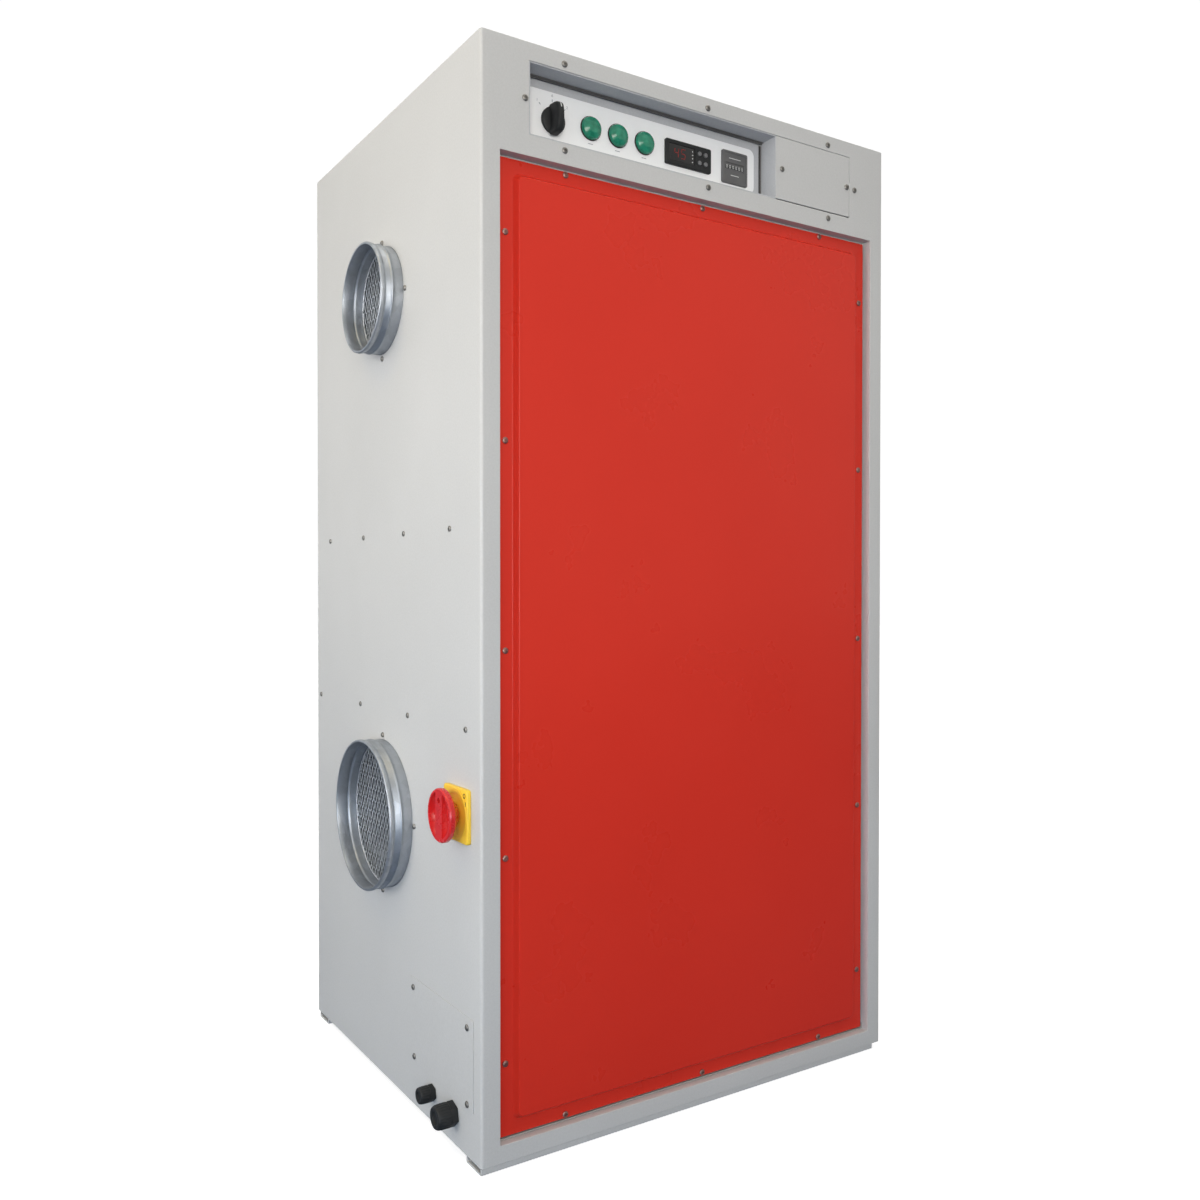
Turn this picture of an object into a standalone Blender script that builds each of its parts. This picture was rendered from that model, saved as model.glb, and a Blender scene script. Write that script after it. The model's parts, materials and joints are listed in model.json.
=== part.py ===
"""Commercial desiccant dehumidifier, built as an assembly of separate sheet-metal,
plastic and rotating parts.

Frame: origin on the floor under the middle of the cabinet, +Z up, the red front panel
faces -Y, the supply and wet-air spigots stand out of the -X side.
All driving dimensions are in millimetres and become metres when a mesh is made.
"""
import math

import bmesh
import bpy
from mathutils import Matrix, Vector

# ------------------------------------------------------------------ driving dimensions (mm)
W, D, H = 648.0, 562.0, 1300.0          # cabinet outside
HX, HY = W / 2, D / 2
T = 2.0                                 # steel wall
GAP = 0.3                               # clearance between touching pieces
CORNER_R = 4.0                          # bend radius of the vertical front corners
SKID_H = 8.0                            # skid rail height
OPEN_X = 297.5                          # half width of the front panel opening
OPEN_Z0, OPEN_Z1 = 30.5, 1167.0         # front panel opening
FLANGE_Y = -270.0                       # front face of the red panel's flange
FIELD_RISE = 8.0                        # raised field, proud of the flange
HEAD_X0, HEAD_X1 = -261.7, 257.0        # header opening
HEAD_Z0, HEAD_Z1 = 1193.5, 1279.0
RECESS_X1 = 119.5                       # the recess ends here, the blank cover starts
PLATE_Y = -251.0                        # control plate, 30 mm behind the front face
DUCT_L, DUCT_S = 98.5, 71.0             # outside radius of the 200 and 150 mm spigots
SPIGOT = 31.0                           # how far a spigot stands out of the cabinet
PORT_N = 24                             # sides of a spigot and of its hole
PORT_Y = 12.0
SUPPLY_Z, WET_Z = 365.0, 1057.0         # left side ports
INLET_Z, REGEN_Z = 960.0, 410.0         # right side ports
DECK_LO, DECK_UP = 516.0, 729.0         # faces of the two decks towards the rotor
ROTOR_C = (0.0, 8.0)
ROTOR_R = 236.0
ROTOR_Z0, ROTOR_Z1 = 523.0, 722.0
PULLEY_C = (-286.0, -222.0)
PULLEY_R = 20.0
BELT_Z0, BELT_Z1 = 612.0, 622.0
ISO_Y, ISO_Z = -224.0, 404.7            # isolator axis
KNOB_X, KNOB_Z = -214.0, 1230.0
LAMP_X, LAMP_Z = (-159.5, -119.5, -79.0), 1233.5
CTRL_X, CTRL_Z, CTRL_W, CTRL_H = -10.0, 1231.5, 74.0, 32.0
HOUR_X, HOUR_Z, HOUR_S = 68.5, 1232.3, 43.6
PFAN = (-165.0, 240.0)                  # process fan axis (x, z), axis along Y
RFAN = (104.0, 66.0)                    # regeneration fan axis (x, y), axis along Z

MM = 0.001

# ------------------------------------------------------------------ clean start
for ob in list(bpy.data.objects):
    bpy.data.objects.remove(ob, do_unlink=True)
for me in list(bpy.data.meshes):
    bpy.data.meshes.remove(me)


# ------------------------------------------------------------------ materials
def material(name, colour, rough, metal=0.0):
    mat = bpy.data.materials.new(name)
    mat.use_nodes = True
    bsdf = mat.node_tree.nodes["Principled BSDF"]
    bsdf.inputs["Base Color"].default_value = (*colour, 1.0)
    bsdf.inputs["Roughness"].default_value = rough
    bsdf.inputs["Metallic"].default_value = metal
    mat.diffuse_color = (*colour, 1.0)
    return mat


COATED = material("coated_grey", (0.62, 0.62, 0.60), 0.45)
RED = material("coated_red", (0.60, 0.035, 0.02), 0.30)
ZINC = material("galvanised", (0.55, 0.57, 0.60), 0.35, 0.9)
SCREW = material("zinc_screw", (0.60, 0.60, 0.58), 0.30, 1.0)
WHITE = material("overlay_white", (0.80, 0.82, 0.85), 0.4)
BLACK = material("black_plastic", (0.02, 0.02, 0.022), 0.4)
DARKGREY = material("grey_plastic", (0.16, 0.16, 0.16), 0.4)
GREEN = material("green_lens", (0.01, 0.25, 0.12), 0.15)
YELLOW = material("yellow_plastic", (0.85, 0.62, 0.03), 0.4)
REDPL = material("red_plastic", (0.65, 0.02, 0.02), 0.3)
SILICA = material("silica_matrix", (0.72, 0.70, 0.64), 0.9)
RUBBER = material("rubber", (0.03, 0.03, 0.03), 0.8)
ALU = material("aluminium", (0.70, 0.71, 0.72), 0.35, 1.0)
MOTOR = material("motor_black", (0.04, 0.04, 0.045), 0.5)
FILTER = material("filter_media", (0.80, 0.82, 0.80), 0.95)
HEATER = material("heater_steel", (0.35, 0.33, 0.32), 0.4, 1.0)


# ------------------------------------------------------------------ mesh helpers
def axis_matrix(axis):
    """Turns +Z onto the named axis."""
    if axis == "X":
        return Matrix.Rotation(math.pi / 2, 4, "Y")
    if axis == "Y":
        return Matrix.Rotation(-math.pi / 2, 4, "X")
    return Matrix.Identity(4)


def box(bm, x0, x1, y0, y1, z0, z1):
    vs = [bm.verts.new(p) for p in
          ((x0, y0, z0), (x1, y0, z0), (x1, y1, z0), (x0, y1, z0),
           (x0, y0, z1), (x1, y0, z1), (x1, y1, z1), (x0, y1, z1))]
    for f in ((0, 3, 2, 1), (4, 5, 6, 7), (0, 1, 5, 4), (1, 2, 6, 5), (2, 3, 7, 6), (3, 0, 4, 7)):
        bm.faces.new([vs[i] for i in f])
    return bm


def lathe(bm, profile, n, centre=(0, 0, 0), axis="Z", phase=0.0):
    """Turns a profile of (radius, height) about the axis. Radius 0 makes a pole; a profile
    that doesn't touch the axis is closed on itself."""
    m = Matrix.Translation(centre) @ axis_matrix(axis)
    rings = []
    for r, h in profile:
        if r < 1e-6:
            rings.append([bm.verts.new(m @ Vector((0, 0, h)))])
        else:
            rings.append([bm.verts.new(m @ Vector((r * math.cos(phase + 2 * math.pi * i / n),
                                                   r * math.sin(phase + 2 * math.pi * i / n), h)))
                          for i in range(n)])
    closed = len(rings[0]) > 1 and len(rings[-1]) > 1
    pairs = list(zip(rings, rings[1:])) + ([(rings[-1], rings[0])] if closed else [])
    for a, b in pairs:
        for i in range(n):
            j = (i + 1) % n
            if len(a) == 1:
                bm.faces.new((a[0], b[j], b[i]))
            elif len(b) == 1:
                bm.faces.new((a[i], a[j], b[0]))
            else:
                bm.faces.new((a[i], a[j], b[j], b[i]))
    return bm


def cyl(bm, centre, r, h0, h1, n=24, axis="Z", phase=0.0):
    return lathe(bm, ((0, h0), (r, h0), (r, h1), (0, h1)), n, centre, axis, phase)


def prism(bm, outline, a0, a1, axis="Z"):
    """Extrudes a 2-D outline. axis Z: (x, y); axis Y: (x, z); axis X: (y, z)."""
    def place(p, a):
        if axis == "Z":
            return (p[0], p[1], a)
        if axis == "Y":
            return (p[0], a, p[1])
        return (a, p[0], p[1])
    lo = [bm.verts.new(place(p, a0)) for p in outline]
    hi = [bm.verts.new(place(p, a1)) for p in outline]
    n = len(outline)
    bm.faces.new(lo[::-1])
    bm.faces.new(hi)
    for i in range(n):
        j = (i + 1) % n
        bm.faces.new((lo[i], lo[j], hi[j], hi[i]))
    return bm


def frame_ring(bm, profile, hx, z0, z1, cx=0.0):
    """A mitred rectangular ring in the XZ plane: profile of (outward offset, y)."""
    loops = []
    for u, y in profile:
        loops.append([bm.verts.new((cx + sx * (hx + u), y, z1 + u if top else z0 - u))
                      for sx, top in ((-1, False), (1, False), (1, True), (-1, True))])
    n = len(loops)
    for k in range(n):
        a, b = loops[k], loops[(k + 1) % n]
        for i in range(4):
            j = (i + 1) % 4
            bm.faces.new((a[i], a[j], b[j], b[i]))
    return bm


def rounded(x0, x1, z0, z1, r, n=4):
    """Outline of a rectangle with rounded corners, anticlockwise."""
    pts = []
    for cx, cz, a0 in ((x1 - r, z0 + r, -90), (x1 - r, z1 - r, 0), (x0 + r, z1 - r, 90), (x0 + r, z0 + r, 180)):
        for i in range(n + 1):
            a = math.radians(a0 + 90 * i / n)
            pts.append((cx + r * math.cos(a), cz + r * math.sin(a)))
    return pts


def loft(bm, loops, closed=False):
    """Joins loops of equal length in order; the end loops are capped unless closed."""
    vs = [[bm.verts.new(p) for p in loop] for loop in loops]
    n = len(vs[0])
    pairs = list(zip(vs, vs[1:])) + ([(vs[-1], vs[0])] if closed else [])
    for a, b in pairs:
        for i in range(n):
            j = (i + 1) % n
            bm.faces.new((a[i], a[j], b[j], b[i]))
    if not closed:
        bm.faces.new(vs[0][::-1])
        bm.faces.new(vs[-1])
    return bm


def fresh():
    return bmesh.new()


def tidy(bm):
    bmesh.ops.recalc_face_normals(bm, faces=bm.faces)
    return bm


def to_object(bm, name, scale=MM):
    tidy(bm)
    me = bpy.data.meshes.new(name)
    bmesh.ops.transform(bm, matrix=Matrix.Scale(scale, 4), verts=bm.verts)
    bm.to_mesh(me)
    bm.free()
    ob = bpy.data.objects.new(name, me)
    bpy.context.scene.collection.objects.link(ob)
    return ob


def boolean(base, tools, operation):
    """Combines bmeshes in millimetres with the exact solver and returns a new bmesh."""
    if not isinstance(tools, (list, tuple)):
        tools = [tools]
    a = to_object(base, "tmp_base", 1.0)
    for k, tool in enumerate(tools):
        b = to_object(tool, "tmp_tool", 1.0)
        mod = a.modifiers.new("cut", "BOOLEAN")
        mod.operation = operation
        mod.solver = "EXACT"
        mod.object = b
        bpy.context.view_layer.update()
        deps = bpy.context.evaluated_depsgraph_get()
        me = bpy.data.meshes.new_from_object(a.evaluated_get(deps))
        a.modifiers.clear()
        old = a.data
        a.data = me
        bpy.data.meshes.remove(old)
        tool_mesh = b.data
        bpy.data.objects.remove(b, do_unlink=True)
        bpy.data.meshes.remove(tool_mesh)
    out = bmesh.new()
    out.from_mesh(a.data)
    me = a.data
    bpy.data.objects.remove(a, do_unlink=True)
    bpy.data.meshes.remove(me)
    bmesh.ops.remove_doubles(out, verts=out.verts, dist=0.005)
    bmesh.ops.dissolve_degenerate(out, edges=out.edges, dist=0.005)
    return out


def union(base, *tools):
    return boolean(base, list(tools), "UNION")


def cut(base, *tools):
    return boolean(base, list(tools), "DIFFERENCE")


def node(name, bm, mat, origin=(0, 0, 0), smooth=False):
    """A finished sub-part: its object's origin goes to `origin` (mm)."""
    bmesh.ops.translate(bm, verts=bm.verts, vec=-Vector(origin))
    ob = to_object(bm, name)
    ob.location = Vector(origin) * MM
    ob.data.materials.clear()
    ob.data.materials.append(mat)
    if smooth:
        ob.data.shade_smooth()
        ob.data.set_sharp_from_angle(angle=math.radians(35))
    return ob


SCREW_N = 5


def screw(centre, axis, inner, face, s, r=3.9, h=2.0):
    """A screw along the axis: shank from `inner` to the panel face at `face`, head outside it
    on the side s (+1 or -1)."""
    return lathe(fresh(), ((0, inner), (1.8, inner), (1.8, face + s * GAP), (r, face + s * GAP),
                           (r * 0.85, face + s * h), (0, face + s * h)), SCREW_N, centre, axis)


def screw_hole(bm, centre, axis, a0, a1):
    """Clearance hole of a screw, the same number of sides as the shank."""
    return cyl(bm, centre, 2.6, a0, a1, SCREW_N, axis)


# ------------------------------------------------------------------ shared positions
HEADER_SCREWS = [(-214.0, 1286.8), (1.5, 1286.8), (214.5, 1286.8),
                 (-213.5, 1185.5), (2.5, 1185.5), (215.5, 1185.5),
                 (-267.0, 1234.5), (266.8, 1234.5), (129.5, 1236.0), (251.5, 1236.0)]
PANEL_SCREWS = ([(x, 1161.5) for x in (-206.0, 1.5, 209.0)] + [(x, 36.5) for x in (-206.0, 3.0, 211.0)] +
                [(s * 287.3, z) for s in (-1, 1) for z in (1080.0, 840.0, 597.0, 356.0, 117.0)])
DECK_SCREWS = {"lower": ((-242.0, -72.5, 96.0, 264.0), 505.0), "upper": ((-199.4, -60.0, 83.0, 221.0), 740.0)}
TERM = (-262.5, -81.0, 63.6, 172.0)     # terminal cover outline (y0, y1, z0, z1)
TERM_SCREWS = ((-93.0, 159.5), (-248.0, 160.0), (-96.0, 71.5), (-248.0, 70.5))
GLANDS = {"small": (-150.0, 46.0, 10.8, 20.0), "large": (-209.4, 44.6, 15.3, 25.5)}
PORTS = {  # name: (side, z, tube radius)
    "supply": (-1, SUPPLY_Z, DUCT_L), "wet": (-1, WET_Z, DUCT_S),
    "inlet": (1, INLET_Z, DUCT_L), "regen": (1, REGEN_Z, DUCT_S)}
REAR_SCREWS = [(s * 312.0, z) for s in (-1, 1) for z in (60.0, 450.0, 850.0, 1240.0)]


def port_screws(z, r):
    k = r + 6.8
    return ((PORT_Y + k, z), (PORT_Y, z + k), (PORT_Y - k, z), (PORT_Y, z - k))


# ------------------------------------------------------------------ cabinet wrap
def arc(cx, cy, r, a0, a1, n=4):
    return [(cx + r * math.cos(math.radians(a0 + (a1 - a0) * i / n)),
             cy + r * math.sin(math.radians(a0 + (a1 - a0) * i / n))) for i in range(n + 1)]


REAR_Y = HY - T - GAP                                    # where the wrap's rear lips end
outer = ([(-302, REAR_Y), (-HX, REAR_Y)] + arc(-HX + CORNER_R, -HY + CORNER_R, CORNER_R, 180, 270) +
         arc(HX - CORNER_R, -HY + CORNER_R, CORNER_R, 270, 360) + [(HX, REAR_Y), (302, REAR_Y)])
ri = CORNER_R - T
inner = ([(302, REAR_Y - T), (HX - T, REAR_Y - T)] + arc(HX - CORNER_R, -HY + CORNER_R, ri, 360, 270) +
         arc(-HX + CORNER_R, -HY + CORNER_R, ri, 270, 180) + [(-HX + T, REAR_Y - T), (-302, REAR_Y - T)])
wrap = prism(fresh(), outer + inner, SKID_H, H)
tool = fresh()
box(tool, -OPEN_X, OPEN_X, -HY - 5, -HY + 3, OPEN_Z0, OPEN_Z1)
box(tool, HEAD_X0, HEAD_X1, -HY - 5, -HY + 3, HEAD_Z0, HEAD_Z1)
for x, z in HEADER_SCREWS[:8]:
    screw_hole(tool, (x, 0, z), "Y", -HY - 5, -HY + 3)
for side, z, r in PORTS.values():
    cyl(tool, (side * HX, PORT_Y, z), r + 0.6, -6, 6, PORT_N, "X")
    for y, zz in port_screws(z, r):
        screw_hole(tool, (side * HX, y, zz), "X", -6, 6)
for ys, z in DECK_SCREWS.values():
    for s in (-1, 1):
        for y in ys:
            screw_hole(tool, (s * HX, y, z), "X", -6, 6)
for y, z in TERM_SCREWS:
    screw_hole(tool, (-HX, y, z), "X", -6, 6)
box(tool, -HX - 5, -HX + 4, -236.0, -105.0, 80.0, 150.0)
for y, z, r, _ in GLANDS.values():
    cyl(tool, (-HX, y, z), r * 0.62 + 0.4, -6, 6, 8, "X")
cyl(tool, (-HX, ISO_Y, ISO_Z), 18.0, -6, 6, 12, "X")
for x, z in REAR_SCREWS:
    screw_hole(tool, (x, 0, z), "Y", REAR_Y - 5, REAR_Y + 3)
node("cabinet_wrap", cut(wrap, tool), COATED)

# angle frame behind the opening: the returns of the stiles and the lip that lands the panel
LIP_Y = -265.6
node("landing_frame", frame_ring(fresh(), ((0.3, -HY + T + GAP), (2.1, -HY + T + GAP), (2.1, LIP_Y + 1.8),
                                            (-20, LIP_Y + 1.8), (-20, LIP_Y), (0.3, LIP_Y)),
                                 OPEN_X, OPEN_Z0, OPEN_Z1), COATED)

# lid: a shallow tray inside the wrap, flush with its top edge
IX, IY0, IY1 = HX - T - 1.0, -HY + T + 1.0, REAR_Y - T - GAP     # inside of the wrap, clear of its bends
lid = fresh()
box(lid, -IX, IX, IY0, IY1, H - 2, H)
lid2 = box(fresh(), -IX, IX, IY0, IY1, H - 8, H - 1)
lid3 = box(fresh(), -IX + 1.8, IX - 1.8, IY0 + 1.8, IY1 - 1.8, H - 20, H - 0.5)
node("top_panel", union(lid, cut(lid2, lid3)), COATED)

# rear panel on the wrap's rear lips, with the screws and their hidden nut strips
rear = box(fresh(), -HX, HX, REAR_Y + GAP, HY, SKID_H, H)
rear_cut = fresh()
for x, z in REAR_SCREWS:
    screw_hole(rear_cut, (x, 0, z), "Y", REAR_Y - 3, HY + 3)
node("rear_panel", cut(rear, rear_cut), COATED)
parts = []
for s in (-1, 1):
    parts.append(box(fresh(), s * 312 - 5, s * 312 + 5, REAR_Y - T - GAP - 1.6, REAR_Y - T - GAP, 50, 1250))
parts.append(box(fresh(), -316, 316, REAR_Y - T - GAP - 1.6, REAR_Y - T - GAP, 645, 655))
for x, z in REAR_SCREWS:
    parts.append(screw((x, 0, z), "Y", REAR_Y - T - GAP - 1.0, HY, 1))
merged = parts[0]
node("rear_screws", union(merged, *parts[1:]), SCREW)

# base tray and the two skid rails
tray = box(fresh(), -IX, IX, IY0, IY1, SKID_H, SKID_H + 20)
tray_in = box(fresh(), -IX + 2, IX - 2, IY0 + 2, IY1 - 2, SKID_H + 2, SKID_H + 30)
node("base_tray", cut(tray, tray_in), ZINC)


def skid(name, x0, x1, y0, y1):
    """A channel rail lying on its web, open above between its two legs."""
    z1 = SKID_H - GAP
    prof = ((y0, 0), (y1, 0), (y1, z1), (y1 - 2.5, z1), (y1 - 2.5, 2.5), (y0 + 2.5, 2.5), (y0 + 2.5, z1), (y0, z1))
    bm = prism(fresh(), prof, x0, x1, "X")
    node(name, bm, COATED)


skid("skid_front", -HX + 0.5, HX - 15.0, -HY + 0.8, -HY + 39.0)
skid("skid_rear", -HX + 0.5, HX - 15.0, HY - 45.0, HY - 7.0)

# ------------------------------------------------------------------ red front panel
FX, FZ0, FZ1 = OPEN_X - 1.5, OPEN_Z0 + 1.5, OPEN_Z1 - 1.5
SHEET = 1.5
FOOT_X, FOOT_Z0, FOOT_Z1 = 277.5, 49.0, 1149.0
field_y = FLANGE_Y - FIELD_RISE


def field_loop(inset, y, r):
    return [(x, y, z) for x, z in rounded(-FOOT_X + inset, FOOT_X - inset, FOOT_Z0 + inset, FOOT_Z1 - inset, r, 3)]


front_loops = [field_loop(0.0, FLANGE_Y, 9), field_loop(4.4, FLANGE_Y - 7.2, 6.4), field_loop(5.4, field_y, 5.4)]
flange = box(fresh(), -FX, FX, FLANGE_Y, FLANGE_Y + SHEET, FZ0, FZ1)
hollow = loft(fresh(), [field_loop(1.9, FLANGE_Y + SHEET + 3, 8), field_loop(1.9, FLANGE_Y + SHEET - 0.01, 8),
                        field_loop(5.2, FLANGE_Y - 5.2, 5.8), field_loop(6.2, field_y + SHEET, 5)])
solid_pan = loft(fresh(), [field_loop(0.0, FLANGE_Y + SHEET - 0.2, 9)] + front_loops)
panel = union(flange, solid_pan)
panel = cut(panel, hollow)
holes = fresh()
for x, z in PANEL_SCREWS:
    screw_hole(holes, (x, 0, z), "Y", FLANGE_Y - 2, FLANGE_Y + SHEET + 2)
node("front_panel", cut(panel, holes), RED)

# captive screws of the panel on their retaining frame behind the flange
RET_Y0 = FLANGE_Y + SHEET + GAP
ret = frame_ring(fresh(), ((-3.0, RET_Y0), (-3.0, RET_Y0 + 1.5), (-13.0, RET_Y0 + 1.5), (-13.0, RET_Y0)),
                 OPEN_X, OPEN_Z0, OPEN_Z1)
parts = []
for x, z in PANEL_SCREWS:
    parts.append(screw((x, 0, z), "Y", RET_Y0 + 1.0, FLANGE_Y, -1))
node("panel_screws", union(ret, *parts), SCREW)

# ------------------------------------------------------------------ header: recess, cover, screws
rx0, rx1 = HEAD_X0 + GAP, RECESS_X1 - 1.8
recess = box(fresh(), rx0, rx1 + 1.5, -HY + 0.6, PLATE_Y + 1.5, HEAD_Z0 + GAP, HEAD_Z1 - GAP)
recess_in = box(fresh(), rx0 + 1.5, rx1, -HY - 5, PLATE_Y, HEAD_Z0 + GAP + 1.5, HEAD_Z1 - GAP - 1.5)
recess = cut(recess, recess_in)
holes = fresh()
cyl(holes, (KNOB_X, 0, KNOB_Z), 6.0, PLATE_Y - 4, PLATE_Y + 6, 10, "Y")
for x in LAMP_X:
    cyl(holes, (x, 0, LAMP_Z), 11.4, PLATE_Y - 4, PLATE_Y + 6, 12, "Y")
box(holes, CTRL_X - 36, CTRL_X + 36, PLATE_Y - 4, PLATE_Y + 6, CTRL_Z - 15, CTRL_Z + 15)
box(holes, HOUR_X - 20.8, HOUR_X + 20.8, PLATE_Y - 4, PLATE_Y + 6, HOUR_Z - 20.8, HOUR_Z + 20.8)
recess = cut(recess, holes)
node("control_recess", recess, COATED)

ov = prism(fresh(), rounded(rx0 + 11, 104.2, HEAD_Z0 + 11.5, HEAD_Z1 - 14.5, 9.0, 4), PLATE_Y - GAP - 1.2, PLATE_Y - GAP, "Y")
holes = fresh()
cyl(holes, (KNOB_X, 0, KNOB_Z), 6.0, PLATE_Y - 4, PLATE_Y + 2, 10, "Y")
for x in LAMP_X:
    cyl(holes, (x, 0, LAMP_Z), 11.4, PLATE_Y - 4, PLATE_Y + 2, 12, "Y")
box(holes, CTRL_X - 36, CTRL_X + 36, PLATE_Y - 4, PLATE_Y + 2, CTRL_Z - 15, CTRL_Z + 15)
box(holes, HOUR_X - 20.8, HOUR_X + 20.8, PLATE_Y - 4, PLATE_Y + 2, HOUR_Z - 20.8, HOUR_Z + 20.8)
node("control_overlay", cut(ov, holes), WHITE)
FACE_Y = PLATE_Y - GAP - 1.2            # outer face of the overlay

# selector: round base, vertical wing and a shaft through the plate
knob = lathe(fresh(), ((0, FACE_Y - GAP), (16.0, FACE_Y - GAP), (16.0, FACE_Y - 4.0), (13.5, FACE_Y - 5.5), (0, FACE_Y - 5.5)), 24,
             (KNOB_X, 0, KNOB_Z), "Y")
wing_out = []
for i in range(11):
    a = math.pi * i / 10
    wing_out.append((FACE_Y - 4.0 - 19.5 * math.sin(a) ** 0.34, KNOB_Z + 18.3 * math.cos(a)))
wing = prism(fresh(), wing_out, KNOB_X - 6.2, KNOB_X + 6.2, "X")
shaft = cyl(fresh(), (KNOB_X, 0, KNOB_Z), 4.5, FACE_Y - 2.0, PLATE_Y + 24, 12, "Y")
node("selector_knob", union(knob, wing, shaft), BLACK, (KNOB_X, FACE_Y, KNOB_Z), True)

# pilot lamps: domed lens and bezel outside, threaded body inside
for k, x in enumerate(LAMP_X):
    y = FACE_Y - GAP
    lamp = lathe(fresh(), ((0, y - 10.5), (9.0, y - 8.8), (12.6, y - 4.0), (14.8, y - 3.4), (14.8, y),
                           (10.8, y), (10.8, y + 30), (0, y + 30)), 12, (x, 0, LAMP_Z), "Y")
    node("pilot_lamp_%d" % (k + 1), lamp, GREEN, smooth=True)

# digital controller: bezel, body behind the plate and four keys in their guides
cy0 = FACE_Y - GAP
body = box(fresh(), CTRL_X - CTRL_W / 2, CTRL_X + CTRL_W / 2, cy0 - 4.0, cy0, CTRL_Z - CTRL_H / 2, CTRL_Z + CTRL_H / 2)
body = union(body, box(fresh(), CTRL_X - 35.4, CTRL_X + 35.4, cy0 - 1, cy0 + 55, CTRL_Z - 14.4, CTRL_Z + 14.4))
KEYS = {"key_set": (17.0, 6.0), "key_up": (27.0, 6.0), "key_power": (17.0, -6.0), "key_down": (27.0, -6.0)}
holes = box(fresh(), CTRL_X - 31, CTRL_X + 9, cy0 - 6, cy0 - 3.2, CTRL_Z - 10, CTRL_Z + 10)
for dx, dz in KEYS.values():
    cyl(holes, (CTRL_X + dx, 0, CTRL_Z + dz), 3.4, cy0 - 8, cy0 + 4, 10, "Y")
node("controller_body", cut(body, holes), BLACK)
for name, (dx, dz) in KEYS.items():
    key = lathe(fresh(), ((0, cy0 - 5.6), (2.9, cy0 - 5.2), (2.9, cy0 + 2.4), (0, cy0 + 2.4)), 10,
                (CTRL_X + dx, 0, CTRL_Z + dz), "Y")
    node(name, key, DARKGREY, (CTRL_X + dx, cy0 - 4, CTRL_Z + dz), True)

# hours counter
hc = box(fresh(), HOUR_X - HOUR_S / 2, HOUR_X + HOUR_S / 2, cy0 - 3.0, cy0, HOUR_Z - HOUR_S / 2, HOUR_Z + HOUR_S / 2)
hc = union(hc, box(fresh(), HOUR_X - 20.4, HOUR_X + 20.4, cy0 - 1, cy0 + 36, HOUR_Z - 20.4, HOUR_Z + 20.4))
hc = cut(hc, box(fresh(), HOUR_X - 17, HOUR_X + 17, cy0 - 5, cy0 - 2.2, HOUR_Z - 6, HOUR_Z + 8))
node("hour_counter", hc, DARKGREY)

# blank cover plate in the right part of the header opening
cov = box(fresh(), RECESS_X1 - 0.1, HEAD_X1 - 0.5, -HY + 0.2, -HY + T, HEAD_Z0 + 1.4, HEAD_Z1 - 0.4)
holes = fresh()
for x, z in HEADER_SCREWS[8:]:
    screw_hole(holes, (x, 0, z), "Y", -HY - 3, -HY + 5)
node("header_blank_cover", cut(cov, holes), COATED)

# header screws on their hidden frame
HF = -HY + T + GAP
ring = box(fresh(), -271, 271, HF, HF + 1.6, 1281.3, 1290.5)
ring = union(ring, box(fresh(), -271, 271, HF, HF + 1.6, 1182.0, 1191.6),
             box(fresh(), -271, -263.6, HF, HF + 1.6, 1183, 1290), box(fresh(), 263.0, 271, HF, HF + 1.6, 1183, 1290),
             box(fresh(), 124.0, 134.0, HF, HF + 1.6, 1183, 1290), box(fresh(), 247, 256, HF, HF + 1.6, 1183, 1290))
parts = []
for x, z in HEADER_SCREWS:
    parts.append(screw((x, 0, z), "Y", HF + 1.0, -HY, -1))
node("header_screws", union(ring, *parts), SCREW)

# ------------------------------------------------------------------ electrical box behind the header
eb = box(fresh(), -277, 277, HF + 1.6 + GAP, -150, 1176, 1282.5)
eb_in = box(fresh(), -275.5, 275.5, HF - 10, -151.5, 1177.5, 1281)
node("electrical_box", cut(eb, eb_in), ZINC)
cont = box(fresh(), 130, 240, -164, -152.5 + 0.7, 1212, 1247)
for i in range(4):
    x = 134 + 26 * i
    cont = union(cont, box(fresh(), x, x + 22, -225, -160, 1190 + 0.0, 1268))
node("contactor_row", cont, DARKGREY)

# ------------------------------------------------------------------ isolator
PLATE_X = -HX - GAP
plate = prism(fresh(), rounded(ISO_Y - 32.0, ISO_Y + 32.0, ISO_Z - 32.0, ISO_Z + 32.0, 4, 3), PLATE_X - 5.0, PLATE_X, "X")
neck = cyl(fresh(), (0, ISO_Y, ISO_Z), 17.0, PLATE_X - 2, PLATE_X + 8, 12, "X")
block = box(fresh(), PLATE_X + 6.0, PLATE_X + 62, ISO_Y - 30, ISO_Y + 30, ISO_Z - 30, ISO_Z + 30)
iso = union(plate, neck, block)
iso = cut(iso, cyl(fresh(), (0, ISO_Y, ISO_Z), 6.0, PLATE_X - 10, PLATE_X + 30, 16, "X"))
node("isolator_base", iso, YELLOW)
# handle: a dished disc on a conical neck, a half-moon pocket either side of its grip bar, a padlock hole through the bar
hx = PLATE_X - 5.0 - 0.8
hand = lathe(fresh(), ((0, hx), (13.0, hx), (14.5, hx - 1.0), (31.0, hx - 12.6), (31.8, hx - 13.6), (31.8, hx - 18.8), (30.4, hx - 20.2), (0, hx - 20.2)), 24,
             (0, ISO_Y, ISO_Z), "X")
for side in (-1, 1):
    moon = []
    for i in range(9):
        a = math.radians(-72 + 18 * i)
        moon.append((ISO_Y + side * 27.0 * math.cos(a), ISO_Z + 27.0 * math.sin(a)))
    hand = cut(hand, prism(fresh(), moon, hx - 26, hx - 13.4, "X"))
spindle = cyl(fresh(), (0, ISO_Y, ISO_Z), 5.0, hx - 3, hx + 28, 12, "X")
hand = union(hand, spindle)
hand = cut(hand, cyl(fresh(), (0, ISO_Y, ISO_Z + 17.4), 3.3, hx - 26, hx + 3, 10, "X"))
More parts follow.
